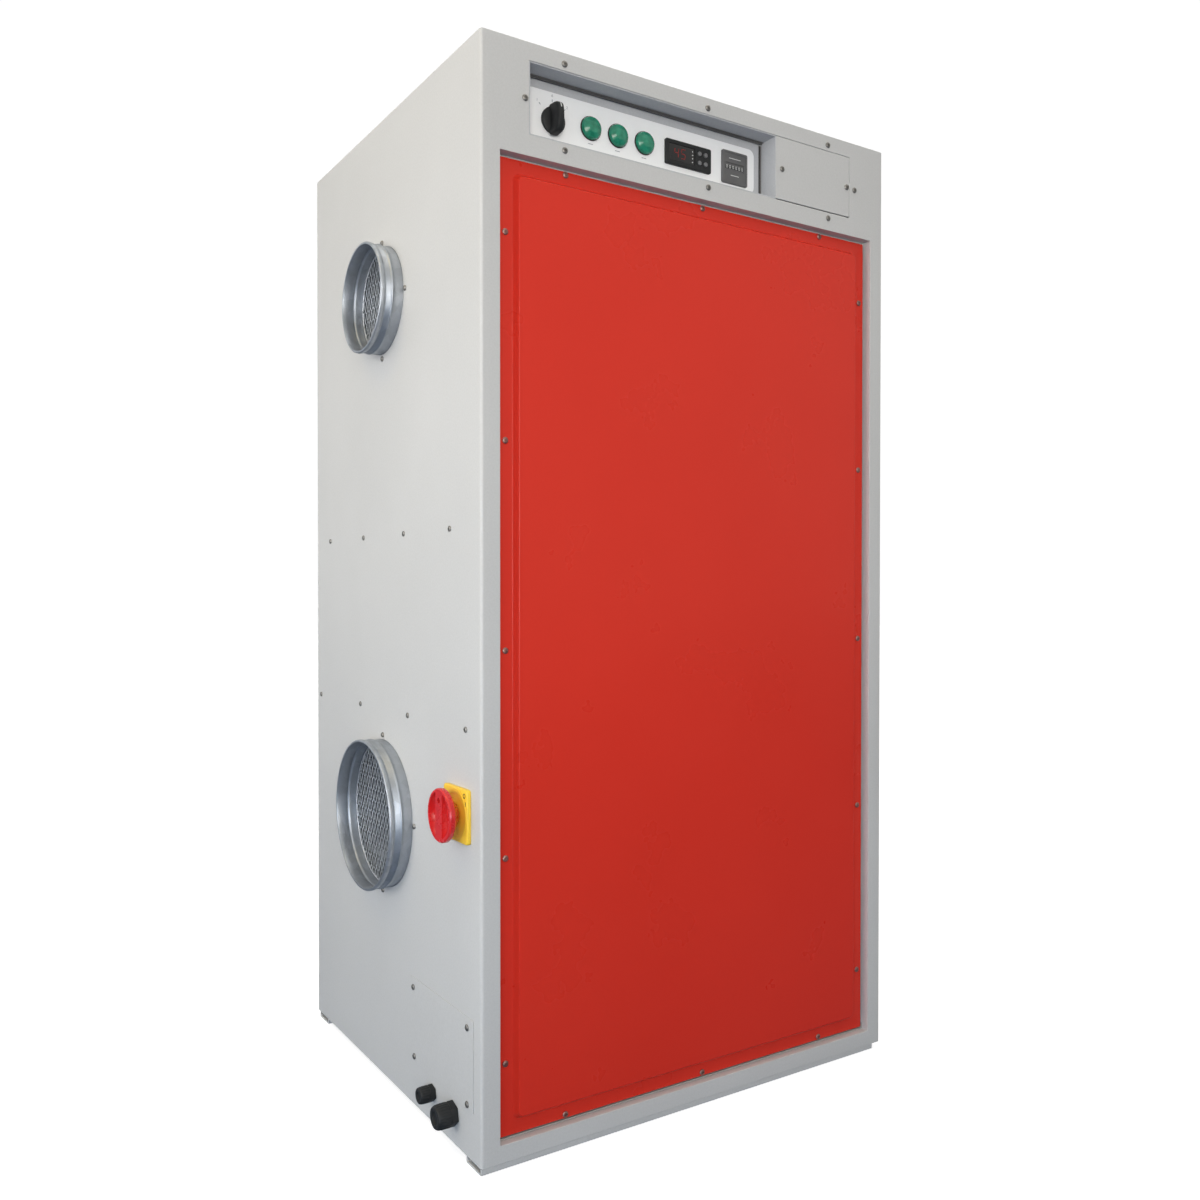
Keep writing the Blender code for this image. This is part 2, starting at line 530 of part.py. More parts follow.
node("isolator_handle", hand, REDPL, (hx, ISO_Y, ISO_Z), True)

# ------------------------------------------------------------------ terminal cover, block, glands
tc = box(fresh(), -HX - GAP - 1.2, -HX - GAP, TERM[0], TERM[1], TERM[2], TERM[3])
holes = fresh()
for y, z in TERM_SCREWS:
    screw_hole(holes, (-HX, y, z), "X", -8, 6)
node("terminal_cover", cut(tc, holes), COATED)
tx = -HX + T + GAP
strip = box(fresh(), tx, tx + 1.5, -252, -242, 66, 165)
strip = union(strip, box(fresh(), tx, tx + 1.5, -101, -89, 66, 165), box(fresh(), tx, tx + 1.5, -250, -92, 155.5, 164))
parts = []
for y, z in TERM_SCREWS:
    parts.append(screw((0, y, z), "X", tx + 1.0, -HX - 1.5, -1))
node("terminal_screws", union(strip, *parts), SCREW)
tb = box(fresh(), tx + 2, tx + 34, -228, -112, 96, 134)
for i in range(7):
    y = -222 + 15.4 * i
    tb = cut(tb, box(fresh(), tx - 2, tx + 12, y, y + 10, 104, 126))
node("terminal_block", tb, DARKGREY)
for name, (y, z, r, proj) in GLANDS.items():
    x0 = -HX - GAP
    prof = ((0, x0 - proj), (r * 0.80, x0 - proj), (r * 0.98, x0 - proj + 2.5), (r, x0), (r * 0.62, x0), (r * 0.62, x0 + 8), (0, x0 + 8))
    node("cable_gland_" + name, lathe(fresh(), prof, 8, (0, y, z), "X"), BLACK)

# ------------------------------------------------------------------ spigots and mesh guards
for name, (side, z, r) in PORTS.items():
    s = side
    x_out, x_in = s * (HX + SPIGOT), s * (HX - T - GAP)
    ri = r - 1.6
    prof = ((ri, x_out), (r + 1.8, x_out), (r + 1.8, s * (HX + SPIGOT - 5.5)), (r, s * (HX + SPIGOT - 6.5)),
            (r, x_in), (r + 12.0, x_in), (r + 12.0, x_in - s * 1.5), (ri, x_in - s * 1.5))
    col = lathe(fresh(), prof, PORT_N, (0, PORT_Y, z), "X")
    parts = []
    for y, zz in port_screws(z, r):
        parts.append(screw((0, y, zz), "X", x_in - s * 1.0, s * HX, s, 3.6, 3.0))
    node("spigot_" + name, union(col, *parts), ZINC, smooth=True)
    rg = r - 1.6 - GAP
    x0, x1 = (s * (HX + 1.0), s * (HX + 2.6)) if s > 0 else (s * (HX + 2.6), s * (HX + 1.0))
    x0, x1 = min(x0, x1), max(x0, x1)
    g = lathe(fresh(), ((rg - 3.5, x0), (rg, x0), (rg, x1), (rg - 3.5, x1)), PORT_N, (0, PORT_Y, z), "X")
    nb = 2 if r > 80 else 1
    parts = []
    for i in range(nb):
        o = (i - (nb - 1) / 2) * (2 * rg / (nb + 0.6))
        half = math.sqrt(rg * rg - o * o) - 1.4
        parts.append(box(fresh(), x0 + 0.2, x1 - 0.2, PORT_Y + o - 1.0, PORT_Y + o + 1.0, z - half, z + half))
        parts.append(box(fresh(), x0 + 0.35, x1 - 0.35, PORT_Y - half, PORT_Y + half, z + o - 1.0, z + o + 1.0))
    node("guard_" + name, union(g, *parts), ZINC)

# ------------------------------------------------------------------ decks and rotor seals


def sector(r0, r1, a0, a1, n):
    pts = []
    for i in range(n + 1):
        a = math.radians(a0 + (a1 - a0) * i / n)
        pts.append((ROTOR_C[0] + r1 * math.cos(a), ROTOR_C[1] + r1 * math.sin(a)))
    for i in range(n // 2, -1, -1):
        a = math.radians(a0 + (a1 - a0) * i / (n // 2))
        pts.append((ROTOR_C[0] + r0 * math.cos(a), ROTOR_C[1] + r0 * math.sin(a)))
    return pts


def deck(name, face, up):
    """Deck plate with its outer face at `face` towards the rotor and side flanges away from it."""
    s = 1 if up else -1
    x, y0, y1 = HX - T - GAP, -HY + 20.0, REAR_Y - T - 6.0
    z0, z1 = sorted((face, face + s * T))
    bm = box(fresh(), -x, x, y0, y1, z0, z1)
    f0, f1 = sorted((face + s * 0.5, face + s * 22.0))
    for sx in (-1, 1):
        bm = union(bm, box(fresh(), min(sx * x, sx * (x - T)), max(sx * x, sx * (x - T)), y0, y1, f0, f1))
    zc0, zc1 = z0 - 5, z1 + 5
    bm = cut(bm, prism(fresh(), sector(40, 222, 50, 310, 16), zc0, zc1), prism(fresh(), sector(40, 222, -43, 43, 6), zc0, zc1),
             cyl(fresh(), (*ROTOR_C, 0), 11.0, zc0, zc1, 12))
    ys, zs = DECK_SCREWS["upper" if up else "lower"]
    parts = []
    for sx in (-1, 1):
        for y in ys:
            parts.append(screw((0, y, zs), "X", sx * (x - 1.0), sx * HX, sx, 3.6, 2.0))
    bm = union(bm, *parts)
    node(name, bm, ZINC)


deck("deck_lower", DECK_LO, False)
deck("deck_upper", DECK_UP, True)


def seal(name, z0, z1):
    ring = lathe(fresh(), ((226, z0), (236, z0), (236, z1), (226, z1)), 32, (*ROTOR_C, 0))
    hub = lathe(fresh(), ((20, z0), (34, z0), (34, z1), (20, z1)), 12, (*ROTOR_C, 0))
    bars = []
    for a in (46.5, -46.5):
        b = box(fresh(), 24, 230, -5, 5, z0 + 0.2, z1 - 0.2)
        bmesh.ops.rotate(b, verts=b.verts, cent=(0, 0, 0), matrix=Matrix.Rotation(math.radians(a), 3, "Z"))
        bmesh.ops.translate(b, verts=b.verts, vec=(*ROTOR_C, 0))
        bars.append(b)
    node(name, union(ring, hub, *bars), RUBBER)


seal("rotor_seal_lower", DECK_LO + GAP, ROTOR_Z0 - 0.8)
seal("rotor_seal_upper", ROTOR_Z1 + 0.8, DECK_UP - GAP)

# ------------------------------------------------------------------ rotor
rim = lathe(fresh(), ((ROTOR_R - 3.0, ROTOR_Z0), (ROTOR_R, ROTOR_Z0), (ROTOR_R, ROTOR_Z1), (ROTOR_R - 3.0, ROTOR_Z1)), 32, (*ROTOR_C, 0))
hub = lathe(fresh(), ((0, DECK_LO - 12), (9.5, DECK_LO - 12), (9.5, ROTOR_Z0), (30, ROTOR_Z0), (30, ROTOR_Z1), (9.5, ROTOR_Z1),
                      (9.5, DECK_UP + 12), (0, DECK_UP + 12)), 12, (*ROTOR_C, 0))
spokes = []
for zz0, zz1 in ((ROTOR_Z0 + 0.3, ROTOR_Z0 + 4.3), (ROTOR_Z1 - 4.3, ROTOR_Z1 - 0.3)):
    for i in range(4):
        b = box(fresh(), 26, ROTOR_R - 1.5, -4, 4, zz0, zz1)
        bmesh.ops.rotate(b, verts=b.verts, cent=(0, 0, 0), matrix=Matrix.Rotation(math.radians(90 * i + 15), 3, "Z"))
        bmesh.ops.translate(b, verts=b.verts, vec=(*ROTOR_C, 0))
        spokes.append(b)
node("rotor_frame", union(rim, hub, *spokes), ALU, (*ROTOR_C, 620.0))
node("rotor_matrix", lathe(fresh(), ((30.5, ROTOR_Z0 + 4.8), (ROTOR_R - 3.6, ROTOR_Z0 + 4.8), (ROTOR_R - 3.6, ROTOR_Z1 - 4.8),
                                     (30.5, ROTOR_Z1 - 4.8)), 32, (*ROTOR_C, 0)), SILICA, (*ROTOR_C, 620.0))

# belt: outer tangent lines between the rotor rim and the drive pulley
dx, dy = PULLEY_C[0] - ROTOR_C[0], PULLEY_C[1] - ROTOR_C[1]
dist = math.hypot(dx, dy)
base_a = math.atan2(dy, dx)


def belt_path(off):
    r1, r2 = ROTOR_R + 0.7 + off, PULLEY_R + 0.7 + off
    th = math.acos((r1 - r2) / dist)
    pts = []
    n1, n2 = 26, 6
    a0, a1 = base_a + th, base_a + 2 * math.pi - th
    for i in range(n1 + 1):
        a = a0 + (a1 - a0) * i / n1
        pts.append((ROTOR_C[0] + r1 / math.cos((a1 - a0) / n1 / 2) * math.cos(a), ROTOR_C[1] + r1 / math.cos((a1 - a0) / n1 / 2) * math.sin(a)))
    b0, b1 = base_a - th, base_a + th
    for i in range(n2 + 1):
        a = b0 + (b1 - b0) * i / n2
        pts.append((PULLEY_C[0] + r2 / math.cos((b1 - b0) / n2 / 2) * math.cos(a), PULLEY_C[1] + r2 / math.cos((b1 - b0) / n2 / 2) * math.sin(a)))
    return pts


pin, pout = belt_path(0.0), belt_path(2.5)
loops = [[(x, y, BELT_Z0) for x, y in pin], [(x, y, BELT_Z0) for x, y in pout],
         [(x, y, BELT_Z1) for x, y in pout], [(x, y, BELT_Z1) for x, y in pin]]
node("drive_belt", loft(fresh(), loops, closed=True), RUBBER)
pul = lathe(fresh(), ((0, BELT_Z0 - 21.7), (8, BELT_Z0 - 21.7), (8, BELT_Z0 - 5), (PULLEY_R, BELT_Z0 - 5), (PULLEY_R, BELT_Z1 + 3), (0, BELT_Z1 + 3)),
            16, (*PULLEY_C, 0))
node("drive_pulley", pul, ALU, (*PULLEY_C, BELT_Z0), True)
gm = lathe(fresh(), ((0, DECK_LO + GAP), (28, DECK_LO + GAP), (28, DECK_LO + 66), (12, DECK_LO + 66), (12, DECK_LO + 74), (0, DECK_LO + 74)), 14,
           (*PULLEY_C, 0))
gm = union(gm, box(fresh(), PULLEY_C[0] - 30, PULLEY_C[0] + 30, PULLEY_C[1] - 30, PULLEY_C[1] + 30, DECK_LO + GAP + 50, DECK_LO + 68))
node("gearmotor", gm, MOTOR)

# ------------------------------------------------------------------ process fan, lower compartment


def volute(cx, cy, r0, r1, a0, a1, n, outlet):
    """Scroll outline (2-D): spiral from a0 to a1 degrees, then the outlet corner points."""
    pts = []
    for i in range(n + 1):
        t = i / n
        a = math.radians(a0 + (a1 - a0) * t)
        r = r0 + (r1 - r0) * t
        pts.append((cx + r * math.cos(a), cy + r * math.sin(a)))
    return pts + outlet


px, pz = PFAN
x_end = -HX + T + 4.0
vo = volute(px, pz, 136, 190, 135, 450, 18, [(x_end, pz + 190), (x_end, pz + 60)])
vi = volute(px, pz, 134, 188, 135, 450, 18, [(x_end - 10, pz + 188), (x_end - 10, pz + 62), (px - 91, pz + 103)])
py0, py1 = PORT_Y - 70.0, PORT_Y + 70.0
scroll = prism(fresh(), vo, py0, py1, "Y")
scroll_in = prism(fresh(), vi, py0 + 2, py1 - 2, "Y")
scroll = cut(scroll, scroll_in, cyl(fresh(), (px, 0, pz), 92, py0 - 5, py0 + 5, 18, "Y"), cyl(fresh(), (px, 0, pz), 48, py1 - 5, py1 + 5, 14, "Y"))
for sx in (-60, 60):
    scroll = union(scroll, box(fresh(), px + sx - 20, px + sx + 20, py0 + 6, py1 - 6, SKID_H + 2 + GAP, pz - 134))
scroll = cut(scroll, prism(fresh(), vi, py0 + 2, py1 - 2, "Y"))
node("process_fan_scroll", scroll, ZINC)


def impeller(cx, cy, r_in, r_out, a0, a1, blades, axis, hub_r, hub_len):
    """Back plate, front ring and straight backward-leaning blades as one body. (a0, a1) along the axis."""
    if axis == "Y":
        centre = (cx, 0, cy)
    else:
        centre = (cx, cy, 0)
    back = cyl(fresh(), centre, r_out, a1 - 3, a1, 20, axis)
    shroud = lathe(fresh(), ((r_in, a0), (r_out, a0), (r_out, a0 + 2.5), (r_in, a0 + 2.5)), 20, centre, axis)
    tools = [shroud]
    for i in range(blades):
        a = 2 * math.pi * i / blades
        lean = math.radians(35)
        p0 = Vector((r_in + 1, 0))
        p1 = Vector(((r_out - 1) * math.cos(lean), -(r_out - 1) * math.sin(lean)))
        n = (p1 - p0).orthogonal().normalized() * 1.0
        quad = [p0 + n, p0 - n, p1 - n, p1 + n]
        rot = Matrix.Rotation(a, 2)
        pts = [tuple(rot @ q + Vector((cx, cy))) for q in quad]
        tools.append(prism(fresh(), pts, a0 + 1.0, a1 - 1.0, axis))
    tools.append(cyl(fresh(), centre, hub_r, a1 - 2, a1 + hub_len, 10, axis))
    return union(back, *tools)


node("process_impeller", impeller(px, pz, 84, 125, py0 + 14, py1 - 14, 7, "Y", 12, 26), ALU, (px, PORT_Y, pz))
motor = lathe(fresh(), ((0, py1 + GAP), (58, py1 + GAP), (58, py1 + 8), (50, py1 + 10), (50, py1 + 96), (44, py1 + 102), (0, py1 + 102)), 16,
              (px, 0, pz), "Y")
motor = cut(motor, cyl(fresh(), (px, 0, pz), 14.0, py1 - 4, py1 + 40, 10, "Y"))
node("process_motor", motor, MOTOR)

# ------------------------------------------------------------------ regeneration side
# heater plenum under the quarter sector, with its duct to the right-hand spigot
PZ0, PZ1 = 330.0, DECK_LO - T - GAP
plen = prism(fresh(), sector(44, 226, -45, 45, 12), PZ0, PZ1)
plen = union(plen, box(fresh(), 160, HX - T - 8, PORT_Y - 78, PORT_Y + 78, PZ0, PZ0 + 156))
plen_in = prism(fresh(), sector(50, 224, -43.5, 43.5, 12), PZ0 + 2, PZ1 + 10)
duct_in = box(fresh(), 165, HX + 5, PORT_Y - 76, PORT_Y + 76, PZ0 + 2, PZ0 + 154)
node("heater_plenum", cut(plen, plen_in, duct_in), ZINC)
# heater: a ladder of rods between two headers across the duct
heat = box(fresh(), 228, 236, PORT_Y - 72, PORT_Y + 72, PZ0 + 20, PZ0 + 28)
for i in range(5):
    y = PORT_Y - 60 + 30 * i
    heat = union(heat, box(fresh(), 229, 235, y - 3, y + 3, PZ0 + 24, PZ0 + 140))
heat = union(heat, box(fresh(), 228.5, 235.5, PORT_Y - 66, PORT_Y + 66, PZ0 + 134, PZ0 + 141))
node("heater_element", heat, HEATER)

# hood over the sector, drawn together to the fan's round inlet
N = 20
HOOD_Z0, HOOD_Z1 = DECK_UP + T + GAP, 1004.0


def hood_loop(z, t, off):
    """Blend between the sector outline (t=0) and the fan inlet circle (t=1)."""
    pts = []
    for i in range(N):
        a = 2 * math.pi * i / N
        d = Vector((math.cos(a), math.sin(a)))
        # sector outline as a rounded quadrilateral about its own middle
        c = Vector((138.0, ROTOR_C[1]))
        lim = 1e9
        for nx, ny, dd in ((1, 0, 86 - off), (-0.7071, 0.7071, 76 - off), (-0.7071, -0.7071, 76 - off), (0.55, 0.835, 102 - off), (0.55, -0.835, 102 - off)):
            k = d.x * nx + d.y * ny
            if k > 1e-6:
                lim = min(lim, dd / k)
        p = c + d * lim
        q = Vector(RFAN) + d * (66 - off)
        r = p.lerp(q, t)
        pts.append((r.x, r.y, z))
    return pts


hood = loft(fresh(), [hood_loop(HOOD_Z0, 0, 0), hood_loop(HOOD_Z0 + 60, 0.05, 0), hood_loop(HOOD_Z1 - 50, 0.95, 0), hood_loop(HOOD_Z1, 1, 0),
                      hood_loop(HOOD_Z1, 1, 2.2), hood_loop(HOOD_Z1 - 50, 0.95, 2.2), hood_loop(HOOD_Z0 + 60, 0.05, 2.2), hood_loop(HOOD_Z0, 0, 2.2)], closed=True)
node("regen_hood", hood, ZINC)

# regeneration fan: flat scroll, outlet to the left-hand spigot
fx, fy = RFAN
rz0, rz1 = HOOD_Z1 + GAP, HOOD_Z1 + 106.0
xe = -HX + T + 4.0
# spiral runs clockwise seen from above and leaves along -X on the front side
ro = []
for i in range(19):
    t = i / 18
    a = math.radians(225 - 315 * t)
    r = 92 + 34 * t
    ro.append((fx + r * math.cos(a), fy + r * math.sin(a)))
ro += [(xe, fy - 126), (xe, fy + 18)]
rin = []
for i in range(19):
    t = i / 18
    a = math.radians(225 - 315 * t)
    r = 90 + 34 * t
    rin.append((fx + r * math.cos(a), fy + r * math.sin(a)))
rin += [(xe - 10, fy - 124), (xe - 10, fy + 16), (fx - 60, fy - 69)]
rs = prism(fresh(), ro, rz0, rz1)
rs = cut(rs, prism(fresh(), rin, rz0 + 2, rz1 - 2), cyl(fresh(), (fx, fy, 0), 58, rz0 - 5, rz0 + 5, 16), cyl(fresh(), (fx, fy, 0), 30, rz1 - 5, rz1 + 5, 12))
node("regen_fan_scroll", rs, ZINC)
imp = impeller(fx, fy, 56, 84, rz0 + 10, rz1 - 10, 7, "Z", 9, 18)
node("regen_impeller", imp, ALU, (fx, fy, rz0 + 50))
rm = lathe(fresh(), ((0, rz1 + GAP), (42, rz1 + GAP), (42, rz1 + 7), (36, rz1 + 9), (36, rz1 + 78), (30, rz1 + 84), (0, rz1 + 84)), 16, (fx, fy, 0))
rm = cut(rm, cyl(fresh(), (fx, fy, 0), 11, rz1 - 4, rz1 + 24, 10))
node("regen_motor", rm, MOTOR)

# ------------------------------------------------------------------ process air filter at the right-hand inlet
zf0, zf1 = 800.0, 1120.0
ff = box(fresh(), 262, 306, -168, 192, zf0, zf1)
ff = cut(ff, box(fresh(), 250, 320, -156, 180, zf0 + 12, zf1 - 12))
pleat = []
n_pl = 10
for i in range(n_pl * 2 + 1):
    y = -158 + (182 + 158) * i / (n_pl * 2)
    pleat.append((270 if i % 2 else 298, y))
back = [(x + 1.6, y) for x, y in pleat[::-1]]
pl = prism(fresh(), pleat + back, zf0 + 10, zf1 - 10)
node("process_filter", union(ff, pl), FILTER)
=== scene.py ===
"""Looks of the desiccant dehumidifier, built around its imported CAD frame.

Every length in the mesh code is in millimetres, in the frame of the CAD, and becomes metres
when a piece is made. Places come from the boxes of the CAD nodes.
"""
import json
import math
import random

import bmesh
import bpy
from mathutils import Matrix, Vector


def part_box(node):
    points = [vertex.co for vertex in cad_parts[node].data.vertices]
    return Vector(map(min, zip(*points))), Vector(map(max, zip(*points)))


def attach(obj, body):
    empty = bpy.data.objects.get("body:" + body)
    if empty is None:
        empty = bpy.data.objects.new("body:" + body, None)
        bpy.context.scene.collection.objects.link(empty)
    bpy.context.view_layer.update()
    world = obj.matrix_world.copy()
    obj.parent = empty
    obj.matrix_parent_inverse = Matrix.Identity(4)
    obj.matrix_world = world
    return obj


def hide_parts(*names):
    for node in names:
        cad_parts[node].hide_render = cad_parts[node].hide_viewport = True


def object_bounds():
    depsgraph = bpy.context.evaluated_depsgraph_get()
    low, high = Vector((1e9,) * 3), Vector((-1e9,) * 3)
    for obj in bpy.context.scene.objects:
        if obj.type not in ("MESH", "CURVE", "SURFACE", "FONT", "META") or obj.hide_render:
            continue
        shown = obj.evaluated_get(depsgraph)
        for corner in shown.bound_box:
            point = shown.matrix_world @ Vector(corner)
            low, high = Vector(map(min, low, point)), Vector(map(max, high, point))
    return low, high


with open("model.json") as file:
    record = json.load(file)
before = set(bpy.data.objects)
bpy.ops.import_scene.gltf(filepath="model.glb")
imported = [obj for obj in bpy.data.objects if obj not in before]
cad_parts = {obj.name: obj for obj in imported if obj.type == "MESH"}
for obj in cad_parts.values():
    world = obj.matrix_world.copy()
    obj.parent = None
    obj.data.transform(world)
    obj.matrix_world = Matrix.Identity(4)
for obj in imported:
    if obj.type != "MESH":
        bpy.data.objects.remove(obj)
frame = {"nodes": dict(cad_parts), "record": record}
CAD_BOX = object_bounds()
MM = 0.001
scene = bpy.context.scene


def nb(name):
    """Box of a CAD node in millimetres."""
    lo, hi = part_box(name)
    return lo * 1000.0, hi * 1000.0


# ------------------------------------------------------------------ places, from the CAD
w_lo, w_hi = nb("cabinet_wrap")
HX = w_hi.x
FRONT = w_lo.y
TOP = w_hi.z
SKID_H = w_lo.z
BACK = nb("rear_panel")[1].y
T = 2.0
lip_lo, lip_hi = nb("landing_frame")
OPEN_X = lip_hi.x - 0.3
OPEN_Z0, OPEN_Z1 = lip_lo.z + 0.3, lip_hi.z - 0.3
pan_lo, pan_hi = nb("front_panel")
FIELD_Y = pan_lo.y
FLANGE_Y = FIELD_Y + 8.0
FX, FZ0, FZ1 = pan_hi.x, pan_lo.z, pan_hi.z
rec_lo, rec_hi = nb("control_recess")
cov_lo, cov_hi = nb("header_blank_cover")
HEAD_X0, HEAD_X1 = rec_lo.x - 0.3, cov_hi.x + 0.5
HEAD_Z0, HEAD_Z1 = rec_lo.z - 0.3, rec_hi.z + 0.3
ov_lo, ov_hi = nb("control_overlay")
FACE_Y = ov_lo.y
PLATE_Y = ov_hi.y + 0.3
k_lo, k_hi = nb("selector_knob")
KNOB = ((k_lo.x + k_hi.x) / 2, (k_lo.z + k_hi.z) / 2)
LAMPS = []
for i in (1, 2, 3):
    lo, hi = nb("pilot_lamp_%d" % i)
    LAMPS.append(((lo.x + hi.x) / 2, (lo.z + hi.z) / 2))
c_lo, c_hi = nb("controller_body")
CTRL = ((c_lo.x + c_hi.x) / 2, (c_lo.z + c_hi.z) / 2, c_hi.x - c_lo.x, c_hi.z - c_lo.z)
h_lo, h_hi = nb("hour_counter")
HOUR = ((h_lo.x + h_hi.x) / 2, (h_lo.z + h_hi.z) / 2, h_hi.x - h_lo.x)
i_lo, i_hi = nb("isolator_base")
ISO = ((i_lo.y + i_hi.y) / 2, (i_lo.z + i_hi.z) / 2)
ih_lo, ih_hi = nb("isolator_handle")
PORTS = {}
for key, side in (("supply", -1), ("wet", -1), ("inlet", 1), ("regen", 1)):
    lo, hi = nb("guard_" + key)
    PORTS[key] = (side, (lo.y + hi.y) / 2, (lo.z + hi.z) / 2, (hi.y - lo.y) / 2 + 1.9)
SPIGOT = nb("spigot_supply")[1].x - nb("spigot_supply")[0].x
SPIGOT_X = CAD_BOX[1][0] * 1000.0
HEADER_SCREWS = [(-214.0, 1286.8), (1.5, 1286.8), (214.5, 1286.8), (-213.5, 1185.5), (2.5, 1185.5),
                 (215.5, 1185.5), (-267.0, 1234.5), (266.8, 1234.5)]
COVER_SCREWS = [(129.5, 1236.0), (251.5, 1236.0)]
PANEL_SCREWS = ([(x, 1161.5) for x in (-206.0, 1.5, 209.0)] + [(x, 36.5) for x in (-206.0, 3.0, 211.0)] +
                [(s * 287.3, z) for s in (-1, 1) for z in (1080.0, 840.0, 597.0, 356.0, 117.0)])
DECK_SCREWS = {"deck_lower": ((-242.0, -72.5, 96.0, 264.0), 505.0), "deck_upper": ((-199.4, -60.0, 83.0, 221.0), 740.0)}
TERM_SCREWS = ((-93.0, 159.5), (-248.0, 160.0), (-96.0, 71.5), (-248.0, 70.5))
REAR_SCREWS = [(s * 312.0, z) for s in (-1, 1) for z in (60.0, 450.0, 850.0, 1240.0)]


# ------------------------------------------------------------------ node materials
def mat_new(name):
    m = bpy.data.materials.new(name)
    m.use_nodes = True
    nt = m.node_tree
    return m, nt, nt.nodes["Principled BSDF"]


def nd(nt, kind, **kw):
    n = nt.nodes.new(kind)
    for k, v in kw.items():
        setattr(n, k, v)
    return n


def coords(nt, scale=1.0):
    """Object coordinates, which are the frame's metres, scaled."""
    tc = nd(nt, "ShaderNodeTexCoord")
    mp = nd(nt, "ShaderNodeMapping")
    s = scale if isinstance(scale, (tuple, list)) else (scale, scale, scale)
    mp.inputs["Scale"].default_value = s
    nt.links.new(tc.outputs["Object"], mp.inputs["Vector"])
    return mp.outputs["Vector"]


def noise(nt, vec, scale, detail=2.0, rough=0.5):
    n = nd(nt, "ShaderNodeTexNoise")
    n.inputs["Scale"].default_value = scale
    n.inputs["Detail"].default_value = detail
    n.inputs["Roughness"].default_value = rough
    nt.links.new(vec, n.inputs["Vector"])
    return n.outputs["Fac"]


def ramp(nt, fac, stops):
    r = nd(nt, "ShaderNodeValToRGB")
    el = r.color_ramp.elements
    while len(el) < len(stops):
        el.new(0.5)
    for e, (p, c) in zip(el, stops):
        e.position = p
        e.color = c if len(c) == 4 else (*c, 1.0)
    nt.links.new(fac, r.inputs["Fac"])
    return r.outputs["Color"]


def mix(nt, fac, a, b, mode="MIX"):
    n = nd(nt, "ShaderNodeMix", data_type="RGBA", blend_type=mode)
    for sock, v in ((n.inputs[0], fac), (n.inputs[6], a), (n.inputs[7], b)):
        if isinstance(v, (int, float)):
            sock.default_value = v
        elif isinstance(v, (tuple, list)):
            sock.default_value = v if len(v) == 4 else (*v, 1.0)
        else:
            nt.links.new(v, sock)
    return n.outputs[2]


def grey(v):
    return (v, v, v, 1.0)


def rng(nt, fac, lo, hi, f0=0.0, f1=1.0):
    n = nd(nt, "ShaderNodeMapRange")
    n.inputs["From Min"].default_value = f0
    n.inputs["From Max"].default_value = f1
    n.inputs["To Min"].default_value = lo
    n.inputs["To Max"].default_value = hi
    nt.links.new(fac, n.inputs["Value"])
    return n.outputs["Result"]


def bump(nt, height, strength, distance, normal=None):
    n = nd(nt, "ShaderNodeBump")
    n.inputs["Strength"].default_value = strength
    n.inputs["Distance"].default_value = distance
    nt.links.new(height, n.inputs["Height"])
    if normal is not None:
        nt.links.new(normal, n.inputs["Normal"])
    return n.outputs["Normal"]


def powder_coat(name, dark, light, rough=0.42, spec=0.4, peel=0.35, wave=0.0, speck=0.04, coat=0.0):
    """Sprayed coat: fine orange peel, slow tonal drift, specks, softly varying gloss."""
    m, nt, p = mat_new(name)
    v = coords(nt)
    drift = noise(nt, v, 3.2, 3.0, 0.55)
    fine = noise(nt, v, 420.0, 2.0, 0.6)
    col = ramp(nt, drift, [(0.30, dark), (0.70, light)])
    col = mix(nt, speck, col, ramp(nt, fine, [(0.35, grey(0.12)), (0.65, grey(0.95))]), "OVERLAY")
    nt.links.new(col, p.inputs["Base Color"])
    nt.links.new(rng(nt, noise(nt, v, 9.0, 4.0, 0.6), rough - 0.05, rough + 0.06, 0.3, 0.7), p.inputs["Roughness"])
    peel_h = noise(nt, v, 330.0, 1.5, 0.5)
    n = bump(nt, peel_h, peel, 0.0004)
    if wave > 0:
        n = bump(nt, noise(nt, v, 4.5, 1.0, 0.4), wave, 0.004, n)
    nt.links.new(n, p.inputs["Normal"])
    p.inputs["Specular IOR Level"].default_value = spec
    p.inputs["Coat Weight"].default_value = coat
    p.inputs["Coat Roughness"].default_value = 0.12
    return m


